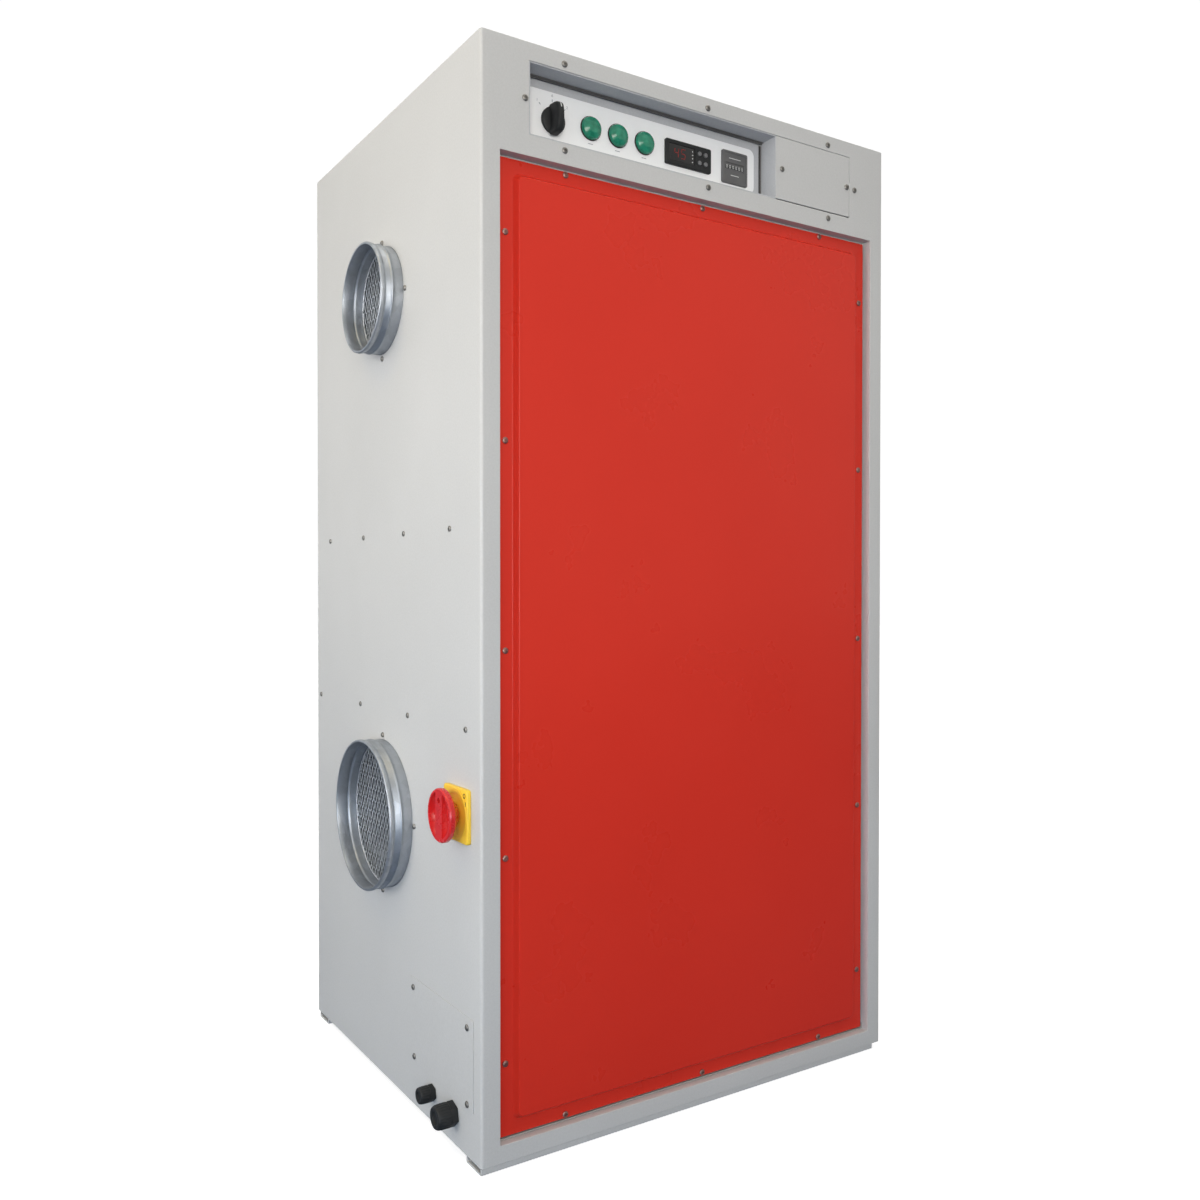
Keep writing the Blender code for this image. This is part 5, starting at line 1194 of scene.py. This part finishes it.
for za in (z0 + 0.3, z1 - 4.3):
    for i in range(4):
        b = prism(fresh(), [(-4, za), (4, za), (4, za + 4), (-4, za + 4)], 26, RR - 1.5, "X")
        spokes.append(moved(b, Matrix.Translation((*RC, 0)) @ Matrix.Rotation(math.radians(90 * i + 15), 4, "Z")))
piece("rotor_rim_and_spokes", union(rim, hub, *spokes), ALU, "rotor", ["rotor_frame"], bevel=0.25)
prof = [(30.5, m_lo.z + 0.9)]                   # wound layers of fluted paper, each a shallow ring on both faces
layers = 58
for k in range(layers):
    ra = 31.0 + (RR - 4.2 - 31.0) * k / layers
    rb = 31.0 + (RR - 4.2 - 31.0) * (k + 0.5) / layers
    prof += [(ra, m_lo.z), (rb, m_lo.z + 0.9)]
prof.append((RR - 3.6, m_lo.z))
prof = prof + [(r, m_lo.z + m_hi.z - z) for r, z in prof[::-1]]
piece("rotor_silica_matrix", lathe(fresh(), prof, 120, (*RC, 0)), SILICA, "rotor", ["rotor_matrix"], smooth=30)

for name in ("rotor_seal_lower", "rotor_seal_upper"):
    lo, hi = nb(name)
    s, base, tip_ = (1, lo.z, hi.z) if name.endswith("lower") else (-1, hi.z, lo.z)
    sect = [(-5.0, base), (5.0, base), (5.0, base + s * 2.6), (1.6, base + s * 3.2), (0.7, tip_), (-0.7, tip_), (-1.6, base + s * 3.2), (-5.0, base + s * 2.6)]
    ring = lathe(fresh(), [(231.0 + u, z) for u, z in sect], 128, (*RC, 0))
    inner_ring = lathe(fresh(), [(27.0 + u * 1.3, z) for u, z in sect], 48, (*RC, 0))
    bars = []
    for deg in (46.5, -46.5):
        b = prism(fresh(), sect, 24, 230, "X")
        bars.append(moved(b, Matrix.Translation((*RC, 0)) @ Matrix.Rotation(math.radians(deg), 4, "Z")))
    piece(name + "_lips", union(ring, inner_ring, *bars), RUBBER, "cabinet", [name], bevel=0.2)

pu_lo, pu_hi = nb("drive_pulley")
PC = ((pu_lo.x + pu_hi.x) / 2, (pu_lo.y + pu_hi.y) / 2)
PR = 20.0
dx, dy = PC[0] - RC[0], PC[1] - RC[1]
dist, base_a = math.hypot(dx, dy), math.atan2(dy, dx)


def belt_path(off):
    r1, r2 = RR + 0.7 + off, PR + 0.7 + off
    th = math.acos((r1 - r2) / dist)
    a0, a1 = base_a + th, base_a + 2 * math.pi - th
    pts = [(RC[0] + r1 * math.cos(a0 + (a1 - a0) * i / 150), RC[1] + r1 * math.sin(a0 + (a1 - a0) * i / 150)) for i in range(151)]
    b0, b1 = base_a - th, base_a + th
    return pts + [(PC[0] + r2 * math.cos(b0 + (b1 - b0) * i / 28), PC[1] + r2 * math.sin(b0 + (b1 - b0) * i / 28)) for i in range(29)]


sect = []
for k in range(5):                              # five V ribs on the inside
    sect += [(0.5, bl_lo.z + 2 * k + 0.1), (0.0, bl_lo.z + 2 * k + 0.7), (0.0, bl_lo.z + 2 * k + 1.3)]
sect += [(0.5, bl_hi.z), (2.3, bl_hi.z), (2.5, bl_hi.z - 0.3), (2.5, bl_lo.z + 0.3), (2.3, bl_lo.z)]
piece("drive_belt_ribbed", loft(fresh(), [[(x, y, z) for x, y in belt_path(o)] for o, z in sect], closed=True), RUBBER, "cabinet",
      ["drive_belt"], smooth=30)
pz0 = bl_lo.z - 5
pul = lathe(fresh(), [(0, pu_lo.z), (7.4, pu_lo.z), (8, pu_lo.z + 0.6), (8, pz0), (22.4, pz0), (22.8, pz0 + 0.6), (22.4, pz0 + 2.0), (PR + 0.4, pz0 + 3.2),
                      (PR, pz0 + 3.6), (PR, bl_hi.z + 0.6), (PR + 0.4, bl_hi.z + 1.0), (22.6, bl_hi.z + 1.6), (22.6, bl_hi.z + 2.6), (22.0, bl_hi.z + 3),
                      (6, bl_hi.z + 3), (5.6, bl_hi.z + 1.4), (0, bl_hi.z + 1.4)], 64, (*PC, 0))
pul = cut(pul, cyl(fresh(), (0, PC[1], pu_lo.z + 8), 1.6, PC[0] + 3, PC[0] + 12, 20, "X"))
piece("drive_pulley_flanged", pul, ALU, "pulley", ["drive_pulley"], smooth=40, bevel=0.15)
g_lo, g_hi = nb("gearmotor")
gz = g_lo.z
prof = [(0, gz), (27, gz), (28, gz + 1), (28, gz + 8)]
for k in range(9):
    prof += [(25.6, gz + 9 + 4.2 * k), (25.6, gz + 11.4 + 4.2 * k), (28, gz + 11.8 + 4.2 * k), (28, gz + 12.8 + 4.2 * k)]
prof += [(28, gz + 49), (0, gz + 49)]
gm = lathe(fresh(), prof, 64, (*PC, 0))
join(gm, slab(fresh(), rounded(PC[0] - 30, PC[0] + 30, PC[1] - 30, PC[1] + 30, 5.0, 6), gz + 49.4, gz + 67.7, "Z", 1.0, 1.4, 3))
join(gm, lathe(fresh(), [(5.2, gz + 67), (12, gz + 67), (12, g_hi.z - 0.8), (11.2, g_hi.z), (5.2, g_hi.z)], 48, (*PC, 0)))
join(gm, cyl(fresh(), (*PC, 0), 5.0, gz + 60, g_hi.z, 32, "Z", 0.4))
for sx in (-1, 1):
    for sy in (-1, 1):
        join(gm, lathe(fresh(), [(0, gz + 67), (3.4, gz + 67), (3.4, gz + 70.2), (2.9, gz + 70.8), (1.7, gz + 70.8), (1.7, gz + 69.2), (0, gz + 69.2)], 24,
                       (PC[0] + 23 * sx, PC[1] + 23 * sy, 0)))
piece("gearmotor_housing", gm, MOTOR, "cabinet", ["gearmotor"], smooth=35)


# ================================================================== fans
def spiral(cx, cy, r0, r1, a0, a1, n=64):
    return [(cx + (r0 + (r1 - r0) * i / n) * math.cos(math.radians(a0 + (a1 - a0) * i / n)),
             cy + (r0 + (r1 - r0) * i / n) * math.sin(math.radians(a0 + (a1 - a0) * i / n))) for i in range(n + 1)]


def fan_wheel(cx, cy, r_in, r_out, a0, a1, blades, axis, hub_r, hub_len):
    centre = (cx, 0, cy) if axis == "Y" else (cx, cy, 0)
    back = lathe(fresh(), [(0, a1 - 9), (hub_r, a1 - 9), (hub_r + 3, a1 - 6), (r_in * 0.7, a1 - 2.6), (r_out - 0.5, a1 - 2.6), (r_out, a1 - 2.1), (r_out, a1 - 0.5),
                           (r_out - 0.5, a1), (hub_r, a1), (hub_r, a1 + hub_len - 1), (hub_r - 1, a1 + hub_len), (0, a1 + hub_len)], 72, centre, axis)
    shroud = lathe(fresh(), [(r_in, a0 - 4), (r_in + 1.5, a0 - 4), (r_in + 1.8, a0 - 0.6), (r_in + 2.6, a0), (r_out - 0.5, a0), (r_out, a0 + 0.5), (r_out, a0 + 2.0),
                             (r_out - 0.5, a0 + 2.5), (r_in, a0 + 2.5)], 72, centre, axis)
    vanes = []
    for b in range(blades):
        left, right_ = [], []
        for k in range(13):
            t = k / 12
            r = r_in + 1 + (r_out - r_in - 2) * t
            a = 2 * math.pi * b / blades - math.radians(35) * t ** 0.8
            left.append((cx + r * math.cos(a) + 1.0 * math.sin(a + 0.7), cy + r * math.sin(a) - 1.0 * math.cos(a + 0.7)))
            right_.append((cx + r * math.cos(a) - 1.0 * math.sin(a + 0.7), cy + r * math.sin(a) + 1.0 * math.cos(a + 0.7)))
        vanes.append(prism(fresh(), left + right_[::-1], a0 + 1.2, a1 - 1.2, axis))
    bolts = fresh()
    for k in range(4):
        a = math.pi / 4 + math.pi / 2 * k
        p = (cx + (hub_r - 4.2) * math.cos(a), cy + (hub_r - 4.2) * math.sin(a))
        at = (p[0], 0, p[1]) if axis == "Y" else (p[0], p[1], 0)
        lathe(bolts, [(0, a1 - 11.2), (2.2, a1 - 11.2), (2.6, a1 - 10.8), (2.6, a1 - 8.5), (0, a1 - 8.5)], 20, at, axis)
    return join(union(back, shroud, *vanes), bolts)


def fan_motor(cx, cy, axis, a, end, r_f, r_b, hole, depth):
    centre = (cx, 0, cy) if axis == "Y" else (cx, cy, 0)
    core = lathe(fresh(), [(0, a), (r_f - 1, a), (r_f, a + 1), (r_f, a + 6.6), (r_f - 1, a + 7.6), (r_b - 4, a + 9), (r_b - 4, end - 30), (r_b - 0.2, end - 28),
                           (r_b - 0.2, end - 7), (r_b - 1.4, end - 4), (r_b - 7, end), (0, end)], 72, centre, axis)
    core = cut(core, cyl(fresh(), centre, hole, a - 5, a + depth, 48, axis))
    for i in range(30):
        t = 2 * math.pi * i / 30
        c, s = math.cos(t), math.sin(t)
        quad = [(cx + r * c - w * s, cy + r * s + w * c) for r, w in ((r_b - 6, -1.1), (r_b, -0.8), (r_b, 0.8), (r_b - 6, 1.1))]
        join(core, prism(fresh(), quad, a + 8, end - 29, axis))
    for i in range(4):
        t = math.pi / 4 + math.pi / 2 * i
        p = (cx + (r_f - 5) * math.cos(t), cy + (r_f - 5) * math.sin(t))
        at = (p[0], 0, p[1]) if axis == "Y" else (p[0], p[1], 0)
        join(core, lathe(fresh(), [(0, a + 7), (2.6, a + 7), (2.6, a + 9.6), (2.1, a + 10.2), (0, a + 10.2)], 20, at, axis))
    for i in range(12):                          # louvre ribs over the cowl's end
        t = 2 * math.pi * i / 12
        c, s = math.cos(t), math.sin(t)
        quad = [(cx + r * c - w * s, cy + r * s + w * c) for r, w in ((8, -1.0), (r_b - 9, -1.6), (r_b - 9, 1.6), (8, 1.0))]
        join(core, prism(fresh(), quad, end - 1.2, end - 0.05, axis))
    return core


def bellmouth(r, a, s, centre, axis):
    return lathe(fresh(), [(r - 1.8, a - s * 6), (r - 1.8, a + s * 2), (r + 1, a + s * 6), (r + 7, a + s * 8), (r + 9, a + s * 8), (r + 9, a + s * 6.6), (r + 7.4, a + s * 6.6),
                           (r + 2.4, a + s * 4.8), (r, a + s * 1.4), (r + 13, a + s * 1.4), (r + 13, a + s * 0.1), (r, a + s * 0.1), (r - 0.2, a - s * 6)], 88, centre, axis)


w_lo2, w_hi2 = nb("process_impeller")
px, pz = (w_lo2.x + w_hi2.x) / 2, (w_lo2.z + w_hi2.z) / 2
s_lo, s_hi = nb("process_fan_scroll")
py0, py1 = s_lo.y, s_hi.y
xe = s_lo.x
vo = spiral(px, pz, 136, 190, 135, 450) + [(xe, pz + 190), (xe, pz + 60)]
vi = spiral(px, pz, 134, 188, 135, 450) + [(xe - 10, pz + 188), (xe - 10, pz + 62), (px - 91, pz + 103)]
vf = spiral(px, pz, 139, 193, 135, 450) + [(xe, pz + 193), (xe, pz + 57)]
body = prism(fresh(), vo, py0, py1, "Y")
body = cut(body, prism(fresh(), vi, py0 + 2, py1 - 2, "Y"), cyl(fresh(), (px, 0, pz), 92, py0 - 5, py0 + 5, 88, "Y"),
           cyl(fresh(), (px, 0, pz), 48, py1 - 5, py1 + 5, 64, "Y"))
seams = [prism(fresh(), vf, py0, py0 + 1.6, "Y"), prism(fresh(), vf, py1 - 1.6, py1, "Y")]
seams = [cut(s_, prism(fresh(), spiral(px, pz, 135, 189, 135, 450) + [(xe - 10, pz + 189), (xe - 10, pz + 61), (px - 92, pz + 103)], py0 - 5, py1 + 5, "Y")) for s_ in seams]
join(body, *seams)
for sx in (-60, 60):                             # folded feet down to the base tray
    foot = box(fresh(), px + sx - 20, px + sx + 20, py0 + 6, py1 - 6, s_lo.z, pz - 120)
    foot = cut(foot, box(fresh(), px + sx - 18, px + sx + 18, py0 + 4, py1 - 4, s_lo.z + 2, pz - 90),
               prism(fresh(), spiral(px, pz, 136.2, 190.2, 135, 450) + [(xe, pz + 190), (xe, pz + 60)], py0, py1, "Y"))
    join(body, foot)
join(body, bellmouth(92, py0, -1, (px, 0, pz), "Y"))
piece("process_scroll_sheet", body, ZINC_IN, "cabinet", ["process_fan_scroll"], smooth=25, bevel=0.2)
piece("process_wheel_vanes", fan_wheel(px, pz, 84, 125, py0 + 14, py1 - 14, 7, "Y", 12, 26), ALU, "process_wheel", ["process_impeller"], smooth=35, bevel=0.15)
mo_lo, mo_hi = nb("process_motor")
piece("process_motor_housing", fan_motor(px, pz, "Y", mo_lo.y, mo_hi.y, 58, 50, 14, 44), MOTOR, "cabinet", ["process_motor"], smooth=35)

w2_lo, w2_hi = nb("regen_motor")
fx, fy = (w2_lo.x + w2_hi.x) / 2, (w2_lo.y + w2_hi.y) / 2
s_lo, s_hi = nb("regen_fan_scroll")
rza, rzb = s_lo.z, s_hi.z
xe = s_lo.x
ro = spiral(fx, fy, 92, 126, 225, -90) + [(xe, fy - 126), (xe, fy + 18)]
rin = spiral(fx, fy, 90, 124, 225, -90) + [(xe - 10, fy - 124), (xe - 10, fy + 16), (fx - 60, fy - 69)]
rf = spiral(fx, fy, 95, 129, 225, -90) + [(xe, fy - 129), (xe, fy + 21)]
rfi = spiral(fx, fy, 91, 125, 225, -90) + [(xe - 10, fy - 125), (xe - 10, fy + 17), (fx - 61, fy - 69)]
body = cut(prism(fresh(), ro, rza, rzb), prism(fresh(), rin, rza + 2, rzb - 2), cyl(fresh(), (fx, fy, 0), 58, rza - 5, rza + 5, 72),
           cyl(fresh(), (fx, fy, 0), 30, rzb - 5, rzb + 5, 56))
join(body, *[cut(prism(fresh(), rf, a, a + 1.6), prism(fresh(), rfi, a - 5, a + 6)) for a in (rza, rzb - 1.6)])
piece("regen_scroll_sheet", body, ZINC_IN, "cabinet", ["regen_fan_scroll"], smooth=25, bevel=0.2)
piece("regen_wheel_vanes", fan_wheel(fx, fy, 56, 84, rza + 10, rzb - 10, 7, "Z", 9, 18), ALU, "regen_wheel", ["regen_impeller"], smooth=35, bevel=0.15)
piece("regen_motor_housing", fan_motor(fx, fy, "Z", w2_lo.z, w2_hi.z, 42, 36, 11, 28), MOTOR, "cabinet", ["regen_motor"], smooth=35)

# ================================================================== heater side
h0_lo, h0_hi = nb("heater_plenum")
za, zb = h0_lo.z, h0_hi.z
PYC = PORTS["regen"][1]
plen = union(prism(fresh(), sector(44, 226, -45, 45, 44), za, zb), box(fresh(), 160, h0_hi.x, PYC - 78, PYC + 78, za, za + 156))
plen = cut(plen, prism(fresh(), sector(50, 224, -43.5, 43.5, 44), za + 2, zb + 10), box(fresh(), 165, h0_hi.x + 10, PYC - 76, PYC + 76, za + 2, za + 154))
fl = cut(prism(fresh(), sector(38, 231, -48, 48, 44), zb - 1.5, zb), prism(fresh(), sector(50.5, 224.5, -43.8, 43.8, 44), zb - 6, zb + 5))
join(plen, fl)
ff_ = cut(box(fresh(), h0_hi.x - 1.5, h0_hi.x, PYC - 86, PYC + 86, za - 8, za + 164), box(fresh(), h0_hi.x - 6, h0_hi.x + 6, PYC - 76.5, PYC + 76.5, za + 1.5, za + 154.5))
join(plen, ff_)
piece("heater_plenum_sheet", plen, ZINC_IN, "cabinet", ["heater_plenum"], smooth=25, bevel=0.2)
e0, e1 = nb("heater_element")
xm_ = (e0.x + e1.x) / 2
he = slab(fresh(), [(e0.x, e0.y), (e1.x, e0.y), (e1.x, e1.y), (e0.x, e1.y)], e0.z, e0.z + 8, "Z", 0.6, 0.6, 2)
join(he, slab(fresh(), [(xm_ - 3.4, PYC - 66), (xm_ + 3.4, PYC - 66), (xm_ + 3.4, PYC + 66), (xm_ - 3.4, PYC + 66)], e1.z - 7, e1.z, "Z", 0.6, 0.6, 2))
for i in range(5):
    y = PYC - 60 + 30 * i
    prof = [(0, e0.z + 6), (2.6, e0.z + 6), (2.6, e0.z + 12)]
    z = e0.z + 12.5
    while z < e1.z - 10:
        prof += [(2.6, z), (7.0, z + 0.2), (7.0, z + 0.8), (2.6, z + 1.0)]
        z += 4.4
    prof += [(2.6, e1.z - 4), (0, e1.z - 4)]
    join(he, lathe(fresh(), prof, 28, (xm_, y, 0)))
piece("heater_finned_rods", he, HEAT, "cabinet", ["heater_element"], smooth=30)

hd_lo, hd_hi = nb("regen_hood")
N_H = 96


def hood_loop(z, t, off):
    """From the sector's outline (t = 0) to the fan's round inlet (t = 1)."""
    pts = []
    for i in range(N_H):
        a = 2 * math.pi * i / N_H
        d = Vector((math.cos(a), math.sin(a)))
        lim = 1e9
        for nx, ny, dd in ((1, 0, 86), (-0.7071, 0.7071, 76), (-0.7071, -0.7071, 76), (0.55, 0.835, 102), (0.55, -0.835, 102)):
            k = d.x * nx + d.y * ny
            if k > 1e-6:
                lim = min(lim, (dd - off) / k)
        r = (Vector((138.0, RC[1])) + d * min(lim, 104.0 - off)).lerp(Vector((fx, fy)) + d * (66 - off), t)
        pts.append((r.x, r.y, z))
    return pts


rows = [(hd_lo.z, 0.0)]
for k in range(17):
    u = k / 16
    rows.append((hd_lo.z + 40 + (hd_hi.z - 30 - hd_lo.z - 40) * u, u * u * (3 - 2 * u)))
rows.append((hd_hi.z, 1.0))
hood = loft(fresh(), [hood_loop(z, t, 0) for z, t in rows] + [hood_loop(z, t, 2.2) for z, t in rows[::-1]], closed=True)
join(hood, loft(fresh(), [hood_loop(hd_lo.z, 0, -9), hood_loop(hd_lo.z + 1.5, 0, -9), hood_loop(hd_lo.z + 1.5, 0, 2.2), hood_loop(hd_lo.z, 0, 2.2)], closed=True))
piece("regen_hood_sheet", hood, ZINC_IN, "cabinet", ["regen_hood"], smooth=25, bevel=0.2)

# ================================================================== process air filter
q0, q1 = nb("process_filter")
fr = cut(box(fresh(), q0.x, q1.x, q0.y, q1.y, q0.z, q1.z), box(fresh(), q0.x - 10, q1.x + 10, q0.y + 12, q1.y - 12, q0.z + 12, q1.z - 12))
fr = cut(fr, box(fresh(), q0.x + 6, q1.x - 6, q0.y + 1.6, q1.y - 1.6, q0.z + 1.6, q1.z - 1.6))
n_pl = 34
pleat = [(270.5 if i % 2 else 297.5, q0.y + 9.0 + (q1.y - q0.y - 18.0) * i / (2 * n_pl)) for i in range(2 * n_pl + 1)]
media = prism(fresh(), pleat + [(x + (0.9 if x > 280 else 0.5), y) for x, y in pleat[::-1]], q0.z + 10, q1.z - 10)
piece("filter_frame", fr, ZINC_IN, "cabinet", ["process_filter"], bevel=0.4)
piece("filter_media_pleats", media, FILTER, "cabinet", smooth=20)
clips = fresh()
for k in range(5):                               # spacer threads across the pleats
    z = q0.z + 40 + 60 * k
    cyl(clips, (q0.x + 6.6 + 29.8, 0, z), 0.6, q0.y + 10, q1.y - 10, 10, "Y")
piece("filter_threads", clips, RUBBER, "cabinet", smooth=50)


# ================================================================== stage, light, camera
def stage_plane():
    bm = fresh()
    # a floor that is one big sheet
    n = 24
    R = 14000.0
    grid = [[bm.verts.new((-R + 2 * R * i / n, -R + 2 * R * j / n, -0.3)) for j in range(n + 1)] for i in range(n + 1)]
    for i in range(n):
        for j in range(n):
            bm.faces.new((grid[i][j], grid[i + 1][j], grid[i + 1][j + 1], grid[i][j + 1]))
    ob = raw_object(bm, "studio_floor", MM)
    # paper white to the eye; the light it throws back is that of a grey studio floor
    m, nt, p = mat_new("floor_paper")
    v = coords(nt)
    path = nd(nt, "ShaderNodeLightPath")
    tone = noise(nt, v, 0.8, 2.0, 0.5)
    seen = ramp(nt, tone, [(0.3, (0.50, 0.50, 0.50)), (0.7, (0.52, 0.52, 0.52))])
    thrown = ramp(nt, tone, [(0.3, (0.105, 0.125, 0.16)), (0.7, (0.115, 0.135, 0.17))])
    nt.links.new(mix(nt, path.outputs["Is Camera Ray"], thrown, seen), p.inputs["Base Color"])
    p.inputs["Roughness"].default_value = 0.9
    p.inputs["Specular IOR Level"].default_value = 0.1
    nt.links.new(mix(nt, path.outputs["Is Camera Ray"], (0.18, 0.46, 1.0), (1.0, 1.0, 1.0)), p.inputs["Emission Color"])
    nt.links.new(rng(nt, path.outputs["Is Camera Ray"], 0.06, 0.78), p.inputs["Emission Strength"])
    ob.data.materials.append(m)


stage_plane()


def area(name, at, to, size, power, colour, spread=180.0):
    la = bpy.data.lights.new(name, "AREA")
    la.shape = "SQUARE"
    la.size = size
    la.spread = math.radians(spread)
    la.energy = power
    la.color = colour
    ob = bpy.data.objects.new(name, la)
    ob.location = at
    ob.rotation_euler = (Vector(to) - Vector(at)).to_track_quat("-Z", "Y").to_euler()
    scene.collection.objects.link(ob)
    return ob


area("key_left", (-3.0, -0.1, 1.0), (-0.3, -0.1, 1.0), 1.6, 8.0, (1.0, 0.965, 0.91), spread=68.0)
area("warm_left", (-1.6, -0.1, 2.6), (-0.3, 0.0, 1.2), 0.8, 5.0, (1.0, 0.70, 0.14))
area("front_soft", (-1.3, -2.7, 1.0), (0.0, -0.3, 1.0), 1.3, 6.0, (1.0, 0.955, 0.885), spread=68.0)
area("top_soft", (0.4, -0.2, 3.6), (0.1, 0.0, 0.0), 2.6, 40.0, (1.0, 0.97, 0.92))
area("low_fill", (-2.1, -1.9, 0.35), (-0.3, -0.2, 0.05), 0.9, 1.6, (0.50, 0.72, 1.0), spread=60.0)

world = bpy.data.worlds.new("studio")
scene.world = world
world.use_nodes = True
wn = world.node_tree
bg = wn.nodes["Background"]
tc = wn.nodes.new("ShaderNodeTexCoord")
dot = wn.nodes.new("ShaderNodeVectorMath")
dot.operation = "DOT_PRODUCT"
dot.inputs[1].default_value = (-0.95, 0.1, -0.3)
wn.links.new(tc.outputs["Generated"], dot.inputs[0])
mr = wn.nodes.new("ShaderNodeMapRange")
mr.inputs["From Min"].default_value = -0.25
mr.inputs["From Max"].default_value = 0.85
mr.interpolation_type = "SMOOTHSTEP"
wn.links.new(dot.outputs["Value"], mr.inputs["Value"])
cr_ = wn.nodes.new("ShaderNodeValToRGB")
cr_.color_ramp.elements[0].position = 0.0
cr_.color_ramp.elements[0].color = (0.59, 0.575, 0.54, 1)
cr_.color_ramp.elements[1].position = 1.0
cr_.color_ramp.elements[1].color = (0.64, 0.67, 0.71, 1)
wn.links.new(mr.outputs["Result"], cr_.inputs["Fac"])
wpath = wn.nodes.new("ShaderNodeLightPath")
wmix = wn.nodes.new("ShaderNodeMix")
wmix.data_type = "RGBA"
wn.links.new(wpath.outputs["Is Camera Ray"], wmix.inputs[0])
wn.links.new(cr_.outputs["Color"], wmix.inputs[6])
wmix.inputs[7].default_value = (1.02, 1.02, 1.02, 1.0)
wn.links.new(wmix.outputs[2], bg.inputs["Color"])
bg.inputs["Strength"].default_value = 1.0
scene.view_settings.view_transform = "Standard"

A, P, ROLL = math.radians(-33.053), math.radians(-0.612), math.radians(0.034)
fwd = Vector((-math.sin(A) * math.cos(P), math.cos(A) * math.cos(P), math.sin(P)))
right = Vector((math.cos(A), math.sin(A), 0.0))
up = right.cross(fwd).normalized()
r2 = right * math.cos(ROLL) + up * math.sin(ROLL)
u2 = up * math.cos(ROLL) - right * math.sin(ROLL)
cam_data = bpy.data.cameras.new("camera")
cam_data.sensor_width = 36.0
cam_data.lens = 32.577
cam_data.clip_end = 100.0
cam = bpy.data.objects.new("camera", cam_data)
scene.collection.objects.link(cam)
m4 = Matrix.Identity(4)
for row in range(3):
    m4[row][0], m4[row][1], m4[row][2] = r2[row], u2[row], -fwd[row]
m4[0][3], m4[1][3], m4[2][3] = -0.8801, -1.3821, 0.6691
cam.matrix_world = m4
scene.camera = cam

# CAD nodes that stay as they are take a node material of their slot
BY_SLOT = {"coated_grey": COAT, "coated_red": RED, "galvanised": ZINC_IN, "zinc_screw": SCREW, "overlay_white": WHITE,
           "black_plastic": BLACK, "grey_plastic": GREYPL, "green_lens": GREEN, "yellow_plastic": YELLOW, "red_plastic": REDPL,
           "rubber": RUBBER, "aluminium": ALU, "silica_matrix": SILICA, "motor_black": MOTOR, "heater_steel": HEAT, "filter_media": FILTER}
for sub in frame["record"]["subparts"]:
    ob = frame["nodes"].get(sub["node"])
    if ob is not None:
        ob.data.materials.clear()
        ob.data.materials.append(BY_SLOT[sub["material_slot"]])

bpy.context.view_layer.update()
